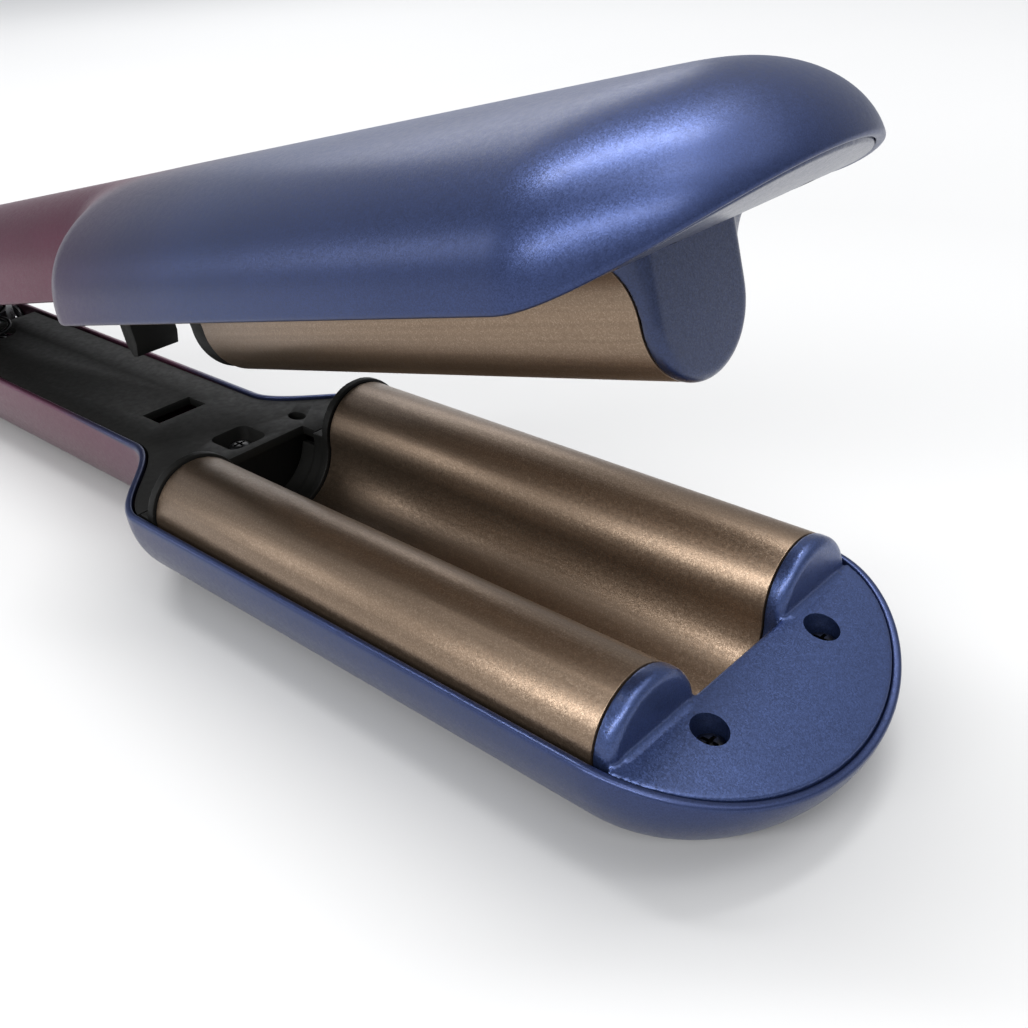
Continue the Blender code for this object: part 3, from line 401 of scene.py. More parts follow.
def mesh_object(name, verts, faces):
    """A scratch object from points and faces, with double points merged and normals outwards."""
    mesh = bpy.data.meshes.new(name)
    bm = bmesh.new()
    corners = [bm.verts.new(v) for v in verts]
    for face in faces:
        bm.faces.new([corners[i] for i in face])
    bmesh.ops.remove_doubles(bm, verts=bm.verts, dist=0.002 * MM)
    bmesh.ops.recalc_face_normals(bm, faces=bm.faces)
    bm.to_mesh(mesh)
    bm.free()
    obj = bpy.data.objects.new(name, mesh)
    SCRATCH.objects.link(obj)
    return obj


def loft(name, rows):
    """A closed solid through rows of points, with both end rows filled."""
    count = len(rows[0])
    verts = [point for row in rows for point in row]
    faces = []
    for r in range(len(rows) - 1):
        for i in range(count):
            j = (i + 1) % count
            faces.append((r * count + i, r * count + j, (r + 1) * count + j, (r + 1) * count + i))
    faces.append(tuple(range(count)))
    faces.append(tuple(reversed(range((len(rows) - 1) * count, len(rows) * count))))
    return mesh_object(name, verts, faces)


def slab(name, outline, low, high, plane):
    """A closed outline in a plane, made solid between two distances along the plane's normal."""
    rows = [[plane @ Vector((a, b, level)) for a, b in outline] for level in (low, high)]
    return loft(name, rows)


def lathe(name, profile, start, axis, segments=64):
    """Distances along an axis and radii, turned into a closed solid; profile is [(along, radius)]."""
    turn = Vector((0, 0, 1)).rotation_difference(Vector(axis)).to_matrix().to_4x4()
    place = Matrix.Translation(start) @ turn
    rows = []
    for along, radius in profile:
        rows.append([place @ Vector((radius * math.cos(a), radius * math.sin(a), along))
                     for a in (2 * math.pi * i / segments for i in range(segments))])
    return loft(name, rows)


def rod(name, radius, low, high, start, axis):
    """A round rod between two distances along an axis, mostly for cutting a hole."""
    return lathe(name, [(low, radius), (high, radius)], start, axis)


def box(name, low, high):
    """A box between two corners."""
    outline = [(low[0], low[1]), (high[0], low[1]), (high[0], high[1]), (low[0], high[1])]
    return slab(name, outline, low[2], high[2], XY_PLANE)


def apply_modifiers(obj):
    """Turns the object's modifiers into its mesh."""
    bpy.context.scene.collection.children.link(SCRATCH)
    bpy.context.view_layer.update()
    evaluated = obj.evaluated_get(bpy.context.evaluated_depsgraph_get())
    mesh = bpy.data.meshes.new_from_object(evaluated)
    bpy.context.scene.collection.children.unlink(SCRATCH)
    obj.modifiers.clear()
    obj.data = mesh
    return obj


def boolean(target, others, operation):
    """Cuts or joins the others into the target, and removes them."""
    for other in others:
        modifier = target.modifiers.new("boolean", "BOOLEAN")
        modifier.operation = operation
        modifier.object = other
        modifier.solver = "EXACT"
    apply_modifiers(target)
    for other in others:
        bpy.data.objects.remove(other, do_unlink=True)
    return target


def bevel(obj, width, segments, angle):
    """Rounds the edges that turn more sharply than the angle."""
    modifier = obj.modifiers.new("bevel", "BEVEL")
    modifier.width = width
    modifier.segments = segments
    modifier.limit_method = "ANGLE"
    modifier.angle_limit = math.radians(angle)
    return apply_modifiers(obj)


def fuse(name, parts, voxel):
    """Overlapping solids made into one, with every edge and inner corner softened as moulded ones are."""
    bm = bmesh.new()
    for part in parts:
        bm.from_mesh(part.data)
        bpy.data.objects.remove(part, do_unlink=True)
    mesh = bpy.data.meshes.new(name)
    bm.to_mesh(mesh)
    bm.free()
    obj = bpy.data.objects.new(name, mesh)
    SCRATCH.objects.link(obj)
    remesh = obj.modifiers.new("remesh", "REMESH")
    remesh.mode = "VOXEL"
    remesh.voxel_size = voxel
    relax = obj.modifiers.new("relax", "SMOOTH")
    relax.factor = 0.5
    relax.iterations = 4
    return apply_modifiers(obj)


def finish_piece(obj, material, body, nodes, opened=False):
    """Shows a finished piece: its material, its shading, its body and the CAD nodes it stands for."""
    SCRATCH.objects.unlink(obj)
    bpy.context.scene.collection.objects.link(obj)
    obj.data.materials.clear()
    obj.data.materials.append(material)
    obj.data.shade_smooth()
    obj.data.set_sharp_from_angle(angle=math.radians(35.0))
    if opened:
        obj.data.transform(OPENED)
        obj.data.update()
    bpy.context.view_layer.update()
    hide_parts(*nodes)
    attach(obj, body)
    return obj


# ---------------------------------------------------------------- shape rules, as in the CAD

def smoothstep(low, high, value):
    t = min(max((value - low) / (high - low), 0.0), 1.0)
    return t * t * (3.0 - 2.0 * t)


def half_width(x):
    """Half of the casing's width at its rim."""
    if x < REAR_ROUND_X:
        t = (REAR_ROUND_X - x) / (REAR_ROUND_X - REAR_END_X)
        return HANDLE_HALF_WIDTH * math.sqrt(max(1.0 - t * t, 0.0))
    if x > NOSE_START_X:
        t = (x - NOSE_START_X) / NOSE_LENGTH
        return HEAD_HALF_WIDTH * math.sqrt(max(1.0 - t * t, 0.0))
    share = smoothstep(SHOULDER_REAR_X, SHOULDER_FRONT_X, x)
    return HANDLE_HALF_WIDTH + (HEAD_HALF_WIDTH - HANDLE_HALF_WIDTH) * share


def inset_half_width(x, inset):
    """The half width of a line that runs inside the rim at an even distance."""
    step = 0.1 * MM
    slope = (half_width(x + step) - half_width(x - step)) / (2 * step)
    return half_width(x) - inset * math.sqrt(1.0 + slope * slope)


def nose_drop(x):
    """How far the rim has turned away from the other arm, towards the tip."""
    t = min(max((x - NOSE_START_X) / NOSE_LENGTH, 0.0), 1.0)
    return NOSE_DROP * t ** NOSE_DROP_POWER


def rim_stations():
    """The places along the arm where its section is drawn, closer together at both round ends."""
    stations = []
    for i in range(25):
        angle = math.radians(90.0 * (1.0 - i / 24))
        stations.append(REAR_ROUND_X - (REAR_ROUND_X - REAR_END_X) * math.sin(angle))
    for i in range(1, 24):
        stations.append(REAR_ROUND_X + (SHOULDER_REAR_X - REAR_ROUND_X) * i / 24)
    for i in range(31):
        stations.append(SHOULDER_REAR_X + (SHOULDER_FRONT_X - SHOULDER_REAR_X) * i / 30)
    for i in range(1, 24):
        stations.append(SHOULDER_FRONT_X + (NOSE_START_X - SHOULDER_FRONT_X) * i / 24)
    for i in range(49):
        stations.append(NOSE_START_X + NOSE_LENGTH * math.sin(math.radians(90.0 * i / 48)))
    return stations


def section_powers(x):
    """The powers of the casing's section across and down, which change towards the tip."""
    share = (max(x - NOSE_START_X, 0.0) / NOSE_LENGTH) ** 2
    return (SECTION_POWER + (TIP_ACROSS_POWER - SECTION_POWER) * share,
            SECTION_POWER + (TIP_DOWN_POWER - SECTION_POWER) * share)


def casing_point(x, t, depth):
    """A point outside one arm's casing, t from 0 at the rim to 1 at the spine: x, y, distance from rim."""
    spine_x = x
    if x > NOSE_START_X:
        spine_x = NOSE_START_X + (x - NOSE_START_X) * NOSE_SPINE_SHARE
    if x < REAR_ROUND_X:
        spine_x = REAR_ROUND_X + (x - REAR_ROUND_X) * REAR_SPINE_SHARE
    across_power, down_power = section_powers(x)
    angle = math.radians(90.0 * t)
    across = math.cos(angle) ** (2.0 / across_power) if t < 1.0 else 0.0
    down = math.sin(angle) ** (2.0 / down_power) if t > 0.0 else 0.0
    drop = nose_drop(x)
    return Vector((spine_x + (x - spine_x) * across, half_width(x) * across, drop + (depth - drop) * down))


def casing_grid(xs, depth):
    """Points outside the casing, from just beyond the rounded lip to the spine, at each station."""
    grid = []
    for x in xs:
        lip_height = LIP_RADIUS / (depth - nose_drop(x))
        first = math.degrees(math.asin(lip_height ** (section_powers(x)[1] / 2))) / 90.0
        grid.append([casing_point(x, first + (1.0 - first) * (j / CASING_COLUMNS) ** 1.3, depth)
                     for j in range(CASING_COLUMNS + 1)])
    return grid


def mirrored(point):
    return Vector((point.x, -point.y, point.z))


def inward(grid, i, j):
    """The casing's normal at a grid point, turned towards the inside."""
    last = len(grid) - 1
    row = grid[i]
    before = grid[i - 1][j] if i > 0 else mirrored(grid[1][j])
    after = grid[i + 1][j] if i < last else mirrored(grid[last - 1][j])
    below = row[j - 1] if j > 0 else 2 * row[0] - row[1]
    above = row[j + 1] if j < CASING_COLUMNS else mirrored(row[CASING_COLUMNS - 1])
    normal = (after - before).cross(above - below)
    if normal.length < 1e-12:
        return Vector((0, 0, -1))
    normal.normalize()
    if normal.dot(Vector((0, -row[j].y, -row[j].z))) < 0:
        normal.negate()
    return normal


def casing_row(grid, i, base):
    """One station's section: lip, outside, inside and inner lip; base is where the rim would be sharp."""
    last = len(grid) - 1
    side = inward(grid, i, 0)
    side.z = 0.0
    if i == 0:
        side = Vector((1, 0, 0))
    elif i == last:
        side = Vector((-1, 0, 0))
    side.normalize()
    start = grid[i][0]
    corner = start + (start - grid[i][1]) * (LIP_RADIUS / (grid[i][1].z - start.z))
    row = []
    for k in range(LIP_STEPS + 1):
        t = k / LIP_STEPS
        row.append((corner + side * LIP_RADIUS) * (1 - t) ** 2 + corner * 2 * t * (1 - t) + start * t * t)
    row += grid[i][1:]
    for j in range(CASING_COLUMNS, 1, -2):
        point = grid[i][j] + inward(grid, i, j) * SHELL_WALL
        if i in (0, last) or j == CASING_COLUMNS:
            point.y = 0.0
        row.append(point)
    for k in range(4):
        angle = math.radians(90.0 * k / 3)
        row.append(base + side * (SHELL_WALL - INNER_LIP_RADIUS * (1 - math.cos(angle)))
                   + Vector((0, 0, INNER_LIP_RADIUS * (1 - math.sin(angle)))))
    return row


def casing(name, depth, place_height):
    """One arm's casing with a rounded lip, an outside, and an inside that runs parallel to it."""
    xs = rim_stations()
    grid = casing_grid(xs, depth)
    rows = [casing_row(grid, i, casing_point(x, 0.0, depth)) for i, x in enumerate(xs)]
    count = len(rows[0])
    spine = LIP_STEPS + CASING_COLUMNS
    verts = []
    faces = []
    for sign in (1, -1):
        start = len(verts)
        for row in rows:
            verts += [(p.x, sign * max(p.y, 0.0), place_height(p.z)) for p in row]
        for i in range(len(rows) - 1):
            for k in range(count):
                if k != spine:
                    a = start + i * count + k
                    b = start + i * count + (k + 1) % count
                    faces.append((a, b, b + count, a + count))
    return mesh_object(name, verts, faces)


def arc(centre_y, centre_z, radius, start_deg, end_deg):
    points = []
    for i in range(ARC_STEPS + 1):
        angle = math.radians(start_deg + (end_deg - start_deg) * i / ARC_STEPS)
        points.append((centre_y + radius * math.cos(angle), centre_z + radius * math.sin(angle)))
    return points


def wave_line(grow, flank_z):
    """The lower wave plate's outline: two crests with a valley between them."""
    line = [(-CREST_OFFSET - CREST_RADIUS - grow, flank_z)]
    line += arc(-CREST_OFFSET, CREST_Z, CREST_RADIUS + grow, 180, 0)
    line += arc(0.0, CREST_Z, VALLEY_RADIUS - grow, 180, 360)[1:-1]
    line += arc(CREST_OFFSET, CREST_Z, CREST_RADIUS + grow, 180, 0)
    line.append((CREST_OFFSET + CREST_RADIUS + grow, flank_z))
    return line


def barrel_line(grow, flange_z):
    """The upper wave plate's outline: one barrel with a channel on each side."""
    radius = CHANNEL_RADIUS - grow
    rise = math.degrees(math.asin((flange_z - CREST_Z) / radius))
    edge = HEAD_HALF_WIDTH - SHELL_WALL - FIT_GAP
    line = [(-edge, flange_z)]
    line += arc(-CREST_OFFSET, CREST_Z, radius, 180 - rise, 0)
    line += arc(0.0, CREST_Z, BARREL_RADIUS + grow, 180, 360)[1:-1]
    line += arc(CREST_OFFSET, CREST_Z, radius, 180, rise)
    line.append((edge, flange_z))
    return line


# ---------------------------------------------------------------- casings and plates

def make_casings():
    lower = casing("lower_casing", LOWER_DEPTH + FLAT_CUT, lambda h: max(LOWER_RIM_Z - h, 0.0))
    pin_hole = rod("pin_hole", PIN_HOLE_RADIUS, -25 * MM, 25 * MM, (HINGE_X, 0, HINGE_Z), (0, 1, 0))
    gland_hole = rod("gland_hole", GLAND_HOLE_RADIUS, 0, 23 * MM, (-245 * MM, 0, GLAND_Z), (1, 0, 0))
    boolean(lower, [pin_hole, gland_hole], "DIFFERENCE")
    finish_piece(lower, PAINT, "lower_arm", ["lower_shell"])
    upper = casing("upper_casing", UPPER_DEPTH, lambda h: UPPER_RIM_Z + h)
    holes = [rod(label + "_hole", BUTTON_RADIUS + BUTTON_GAP, -5 * MM, 5 * MM, (x, 0, BACK_Z), (0, 0, 1))
             for label, x in BUTTON_XS.items()]
    half_x, half_y = DISPLAY_LENGTH / 2 + FIT_GAP, DISPLAY_WIDTH / 2 + FIT_GAP
    holes.append(box("display_hole", (DISPLAY_X - half_x, -half_y, BACK_Z - 5 * MM),
                     (DISPLAY_X + half_x, half_y, BACK_Z + 5 * MM)))
    boolean(upper, holes, "DIFFERENCE")
    finish_piece(upper, UPPER_PAINT, "upper_arm", ["upper_shell"], opened=True)


def wave_plate(name, outside, inside):
    """A bent sheet between two outlines, with its cut edges rounded."""
    plate = slab(name, outside + list(reversed(inside)), -PLATE_HALF_LENGTH, PLATE_HALF_LENGTH, YZ_PLANE)
    return bevel(plate, 0.18 * MM, 2, 60)


def make_plates():
    flank_z = CREST_Z - 3.0 * MM
    lower = wave_plate("lower_plate", wave_line(0.0, flank_z), wave_line(-PLATE_THICKNESS, flank_z))
    finish_piece(lower, BRONZE, "lower_arm", ["lower_wave_plate"])
    flange_z = UPPER_RIM_Z - 0.4 * MM
    upper = wave_plate("upper_plate", barrel_line(0.0, flange_z),
                       barrel_line(-PLATE_THICKNESS, flange_z + PLATE_THICKNESS))
    finish_piece(upper, UPPER_BRONZE, "upper_arm", ["upper_wave_plate"], opened=True)


# ---------------------------------------------------------------- tip caps

def nose_plate(name, start_x, is_upper):
    """The D-shaped plate that follows the rim's curve."""
    reach = NOSE_LENGTH - SHELL_WALL - CAP_SEAM
    half = HEAD_HALF_WIDTH - SHELL_WALL - CAP_SEAM
    first = math.asin((start_x - NOSE_START_X) / reach)
    sign = 1 if is_upper else -1
    rim_z = UPPER_RIM_Z if is_upper else LOWER_RIM_Z
    rows = []
    for i in range(41):
        angle = first + (math.radians(88.5) - first) * i / 40
        x = NOSE_START_X + reach * math.sin(angle)
        width = half * math.cos(angle)
        z = rim_z + sign * (nose_drop(x) + CAP_RECESS)
        face = [(x, width * s / 12, z) for s in range(-12, 13)]
        back = [(x, width * s / 12, z + sign * CAP_THICKNESS) for s in range(12, -13, -1)]
        rows.append(face + back)
    return loft(name, rows)


def rounded_wall(name, line_of, rear_x, front_x):
    """A wall across the arm whose front edge is rounded over; line_of(x, grow) gives its outline."""
    rows = []
    for k in range(17):
        x = rear_x + (front_x - rear_x) * math.sin(math.radians(90.0 * k / 16))
        ahead = max(1.0 - (front_x - x) / EAR_ROUND, 0.0)
        grow = EAR_ROUND * (math.sqrt(1.0 - ahead ** 2) - 1.0)
        rows.append([(x, y, z) for y, z in line_of(x, grow)])
    return loft(name, rows)


def cap_holes(floor_z, top_z):
    """Counterbores for the two screws."""
    low, high = sorted((floor_z, top_z))
    return [rod("cap_hole", COUNTERBORE_RADIUS, 0, high - low, (CAP_SCREW_X, y, low), (0, 0, 1))
            for y in (-CAP_SCREW_Y, CAP_SCREW_Y)]


def cap_posts(base_z, is_upper, segments=48):
    """Round posts that end inside the cap's thickness and follow its slope."""
    posts = []
    for y in (-CAP_SCREW_Y, CAP_SCREW_Y):
        base = []
        tip = []
        for i in range(segments):
            angle = 2 * math.pi * i / segments
            px = CAP_SCREW_X + POST_RADIUS * math.cos(angle)
            py = y + POST_RADIUS * math.sin(angle)
            depth = nose_drop(px) + CAP_RECESS + CAP_THICKNESS / 2
            base.append((px, py, base_z))
            tip.append((px, py, UPPER_RIM_Z + depth if is_upper else LOWER_RIM_Z - depth))
        posts.append(loft("cap_post", [base, tip]))
    return posts


def make_lower_cap():
    below = [(28.0 * MM, 13.0 * MM), (20.0 * MM, 7.0 * MM), (-20.0 * MM, 7.0 * MM), (-28.0 * MM, 13.0 * MM)]
    wall = rounded_wall("ears", lambda x, grow: wave_line(0.1 * MM + grow, 19.0 * MM) + below,
                        PLATE_HALF_LENGTH + FIT_GAP, EAR_FRONT_X)
    skirt_x = TONGUE_FRONT_X + FIT_GAP / 2
    skirt = box("skirt", (skirt_x, -13.94 * MM, 7.3 * MM), (skirt_x + 2 * MM, 13.94 * MM, 21 * MM))
    foot_z = LOWER_RIM_Z - CAP_RECESS - nose_drop(EAR_FRONT_X + MM)
    foot = [(EAR_FRONT_X - 0.3 * MM, foot_z - MM), (EAR_FRONT_X + 0.9 * MM, foot_z - MM),
            (EAR_FRONT_X + 0.9 * MM, foot_z), (EAR_FRONT_X - 0.3 * MM, foot_z + 0.9 * MM)]
    feet = [slab("foot", foot, low, low + 16 * MM, XZ_PLANE) for low in (-30 * MM, 14 * MM)]
    parts = [nose_plate("plate", LOWER_CAP_START_X, False), wall, skirt] + feet + cap_posts(11.0 * MM, False)
    cap = fuse("lower_cap", parts, CAP_VOXEL)
    boolean(cap, cap_holes(16.0 * MM, LOWER_RIM_Z + 3 * MM), "DIFFERENCE")
    finish_piece(cap, CAP_PAINT, "lower_arm", ["lower_tip_cap"])


def make_upper_cap():
    rear_x = PLATE_HALF_LENGTH + FIT_GAP
    top_z = 35.0 * MM

    def tongue_line(x, grow):
        """The barrel's outline, which opens out along the channels beside it at the rear only."""
        radius = BARREL_RADIUS + 0.1 * MM + grow
        channel = CHANNEL_RADIUS - 0.1 * MM - grow
        line = [(-CREST_OFFSET, top_z)] + arc(-CREST_OFFSET, CREST_Z, channel, 90, 0)
        line += arc(0, CREST_Z, radius, 180, 360)[1:-1]
        line += arc(CREST_OFFSET, CREST_Z, channel, 180, 90) + [(CREST_OFFSET, top_z)]
        flare = 1.0 - smoothstep(rear_x + 0.2 * MM, TONGUE_FRONT_X - 0.6 * MM, x)
        drawn_in = []
        for y, z in line:
            reach = min(abs(y), radius + max(abs(y) - radius, 0.0) * flare)
            drawn_in.append((math.copysign(reach, y), z))
        return drawn_in

    tongue = rounded_wall("tongue", tongue_line, rear_x, TONGUE_FRONT_X)
    bridge = box("bridge", (TONGUE_FRONT_X - MM, -10.5 * MM, UPPER_RIM_Z + 1.6 * MM),
                 (UPPER_CAP_START_X + 2 * MM, 10.5 * MM, UPPER_RIM_Z + 4.5 * MM))
    ledge_z = CREST_Z + CREST_RADIUS + 2 * FIT_GAP
    ledge_front_x = UPPER_CAP_START_X + 2.2 * MM
    ledge = slab("ledge", [(rear_x, 33.2 * MM), (rear_x, -33.2 * MM), (ledge_front_x, -31.3 * MM),
                           (ledge_front_x, 31.3 * MM)], ledge_z, ledge_z + 1.4 * MM, XY_PLANE)
    parts = [nose_plate("plate", UPPER_CAP_START_X, True), tongue, bridge, ledge]
    parts += cap_posts(UPPER_RIM_Z + 11.5 * MM, True)
    cap = fuse("upper_cap", parts, CAP_VOXEL)
    boolean(cap, cap_holes(UPPER_RIM_Z - 3 * MM, UPPER_RIM_Z + 6.5 * MM), "DIFFERENCE")
    finish_piece(cap, UPPER_CAP_PAINT, "upper_arm", ["upper_tip_cap"], opened=True)


# ---------------------------------------------------------------- liners and end frames

def deck_outline():
    """The liners' outline: parallel to the casing's rim, with a notch in front for the wave plate."""
    inset = SHELL_WALL + DECK_GAP
    notch_half = VALLEY_RADIUS + 0.6 * MM
    side = [(DECK_REAR_X, inset_half_width(DECK_REAR_X, inset))]
    for i in range(41):
        x = SHOULDER_REAR_X + (DECK_FRONT_X - SHOULDER_REAR_X) * i / 40
        side.append((x, inset_half_width(x, inset)))
    near = [(x, -y) for x, y in side]
    notch = [(DECK_FRONT_X, -notch_half), (DECK_STEP_X, -notch_half),
             (DECK_STEP_X, notch_half), (DECK_FRONT_X, notch_half)]
    return near + notch + list(reversed(side))


def rounded_square(centre_x, half):
    """A square in the deck's plane with well-rounded corners."""
    corner = 0.45 * half
    outline = []
    for i in range(ARC_STEPS):
        angle = 2 * math.pi * (i + 0.5) / ARC_STEPS
        sign_x = math.copysign(1.0, math.cos(angle))
        sign_y = math.copysign(1.0, math.sin(angle))
        outline.append((centre_x + sign_x * (half - corner) + corner * math.cos(angle),
                        sign_y * (half - corner) + corner * math.sin(angle)))
    return outline


def make_lower_liner():
    top = LOWER_RIM_Z - DECK_RECESS
    low = top - DECK_THICKNESS
    liner = slab("lower_deck", deck_outline(), low, top, XY_PLANE)
    wall = box("front_wall", (DECK_STEP_X - 1.9 * MM, -13.2 * MM, 8.0 * MM),
               (DECK_STEP_X - 0.2 * MM, 13.2 * MM, top - 0.5 * MM))
    cup = slab("cup", rounded_square(RECESS_X, RECESS_HALF + 1.3 * MM), top - 5.2 * MM, top - MM, XY_PLANE)
    boolean(liner, [wall, cup], "UNION")
    hollow = rounded_square(RECESS_X, RECESS_HALF)
    well_place = (SPRING_X, 0, low - 3 * MM)
    cutters = [box("slot", (SLOT_X - SLOT_HALF_LENGTH, -SLOT_HALF_WIDTH, low - 5 * MM),
                   (SLOT_X + SLOT_HALF_LENGTH, SLOT_HALF_WIDTH, top + 5 * MM)),
               slab("hollow", hollow, top - RECESS_DEPTH, top + 3 * MM, XY_PLANE),
               rod("screw_hole", SCREW_HOLE_RADIUS, 0, 9 * MM, (RECESS_X, 0, low - 8 * MM), (0, 0, 1)),
               rod("spring_well", SPRING_RADIUS + 1.3 * MM, 0, 8 * MM, well_place, (0, 0, 1))]
    for side in (-1, 1):
        oval = [(OVAL_X + OVAL_HALF_LENGTH * math.cos(a), side * OVAL_Y + OVAL_HALF_WIDTH * math.sin(a))
                for a in (2 * math.pi * i / 48 for i in range(48))]
        cutters.append(slab("oval", oval, low - 3 * MM, top + 3 * MM, XY_PLANE))
    boolean(liner, cutters, "DIFFERENCE")
    bevel(liner, 0.3 * MM, 2, 50)
    finish_piece(liner, BLACK_PLASTIC, "lower_arm", ["lower_liner"])


def make_lower_frame():
    """The thin arch that borders the wave plate, and the level part behind it."""
    below = [(29.0 * MM, 13.0 * MM), (20.0 * MM, 8.0 * MM), (-20.0 * MM, 8.0 * MM), (-29.0 * MM, 13.0 * MM)]
    arch = slab("arch", wave_line(0.6 * MM, 19.0 * MM) + below, ARCH_REAR_X, FRAME_FRONT_X, YZ_PLANE)
    top = LOWER_RIM_Z - DECK_RECESS
    edge = CREST_OFFSET + CREST_RADIUS + 0.4 * MM
    valley = VALLEY_RADIUS - 0.5 * MM
    outline = [(-edge, 19.0 * MM), (-edge, top), (-valley, top)] + arc(0, CREST_Z, valley, 180, 360)
    outline += [(valley, top), (edge, top), (edge, 19.0 * MM)] + below
    base = slab("frame_base", outline, FRAME_REAR_X, ARCH_REAR_X + MM, YZ_PLANE)
    trough = arc(0, CREST_Z, VALLEY_RADIUS - 0.2 * MM, 190, 350)
    trough += arc(0, CREST_Z, VALLEY_RADIUS + 1.4 * MM, 350, 190)
    curb = slab("trough", trough, DECK_STEP_X + FIT_GAP, FRAME_REAR_X + MM, YZ_PLANE)
    piece = fuse("lower_frame", [arch, base, curb], FRAME_VOXEL)
    finish_piece(piece, BLACK_PLASTIC, "lower_arm", ["lower_end_frame"])


def make_upper_liner():
    low = UPPER_RIM_Z + DECK_RECESS
    high = low + DECK_THICKNESS
    liner = slab("upper_deck", deck_outline(), low, high, XY_PLANE)
    rear_x, front_x = SLOT_X - TAB_HALF_LENGTH, SLOT_X + TAB_HALF_LENGTH
    tab = [(rear_x, low + MM), (rear_x, TAB_TIP_Z + 3 * MM), (SLOT_X - MM, TAB_TIP_Z),
           (SLOT_X + MM, TAB_TIP_Z), (front_x, TAB_TIP_Z + 3 * MM), (front_x, low + MM)]
    boolean(liner, [slab("tab", tab, -TAB_HALF_WIDTH, TAB_HALF_WIDTH, XZ_PLANE)], "UNION")
    boolean(liner, [rod("screw_hole", SCREW_HOLE_RADIUS, 0, 12 * MM, (UPPER_LINER_SCREW_X, 0, low - 5 * MM),
                        (0, 0, 1))], "DIFFERENCE")
    bevel(liner, 0.3 * MM, 2, 50)
    finish_piece(liner, BLACK_PLASTIC, "upper_arm", ["upper_liner"], opened=True)


def make_upper_frame():
    """The plate that closes the rear end of the upper wave plate."""
    outline = barrel_line(-0.5 * MM, 29.0 * MM)
    outline += [(32.5 * MM, 32.0 * MM), (27.0 * MM, 40.0 * MM)]
    outline += [(-27.0 * MM, 40.0 * MM), (-32.5 * MM, 32.0 * MM)]
    piece = slab("upper_frame", outline, FRAME_REAR_X, FRAME_FRONT_X, YZ_PLANE)
    bevel(piece, 0.3 * MM, 3, 60)
    finish_piece(piece, BLACK_PLASTIC, "upper_arm", ["upper_end_frame"], opened=True)


# ---------------------------------------------------------------- small pieces

def dome(centre, radius, height, edge, steps):
    """The end of a lathe's profile that turns over from its side to its top."""
    profile = []
    for k in range(1, steps + 1):
        angle = math.radians(90.0 * k / steps)
        profile.append((centre + height * math.sin(angle), radius - edge * (1 - math.cos(angle))))
    return profile


def make_screw(node, x, y, head_z, direction, body, length=8.0 * MM):
    """A pan-head screw with a cross recess and a threaded shank; direction is +1 for a head facing up."""
    profile = [(-length, 0.3 * MM), (-length + 0.8 * MM, 1.0 * MM)]
    turns = 9
    for i in range(turns):
        along = -length + 1.0 * MM + i * (length - 3.2 * MM) / turns
        profile += [(along, 0.95 * MM), (along + 0.25 * MM, 1.25 * MM)]
    profile += [(-2.0 * MM, 1.2 * MM), (-1.85 * MM, 2.3 * MM), (-1.6 * MM, 2.5 * MM), (-0.9 * MM, 2.5 * MM)]
    profile += dome(-0.9 * MM, 2.5 * MM, 0.9 * MM, 1.6 * MM, 6)
    screw = lathe(node + "_detail", profile, (x, y, head_z), (0, 0, direction), 40)
    cutters = []
    for dx, dy in ((1.5 * MM, 0.33 * MM), (0.33 * MM, 1.5 * MM)):
        low, high = sorted((head_z - direction * 1.1 * MM, head_z + direction * 0.5 * MM))
        cutters.append(box("cross", (x - dx, y - dy, low), (x + dx, y + dy, high)))
    boolean(screw, cutters, "DIFFERENCE")
    finish_piece(screw, BLACK_STEEL, body, [node], opened=body == "upper_arm")


def make_screws():
    for label, side in (("near", -1), ("far", 1)):
        make_screw("lower_tip_screw_" + label, CAP_SCREW_X, side * CAP_SCREW_Y, 18.2 * MM, 1, "lower_arm")
        make_screw("upper_tip_screw_" + label, CAP_SCREW_X, side * CAP_SCREW_Y, UPPER_RIM_Z + 4.3 * MM, -1,
                   "upper_arm")
    recess_z = LOWER_RIM_Z - DECK_RECESS - RECESS_DEPTH
    make_screw("lower_liner_screw", RECESS_X, 0, recess_z + FIT_GAP + 1.8 * MM, 1, "lower_arm", 9 * MM)
    upper_z = UPPER_RIM_Z + DECK_RECESS - FIT_GAP - 1.6 * MM
    make_screw("upper_liner_screw", UPPER_LINER_SCREW_X, 0, upper_z, -1, "upper_arm", 9 * MM)


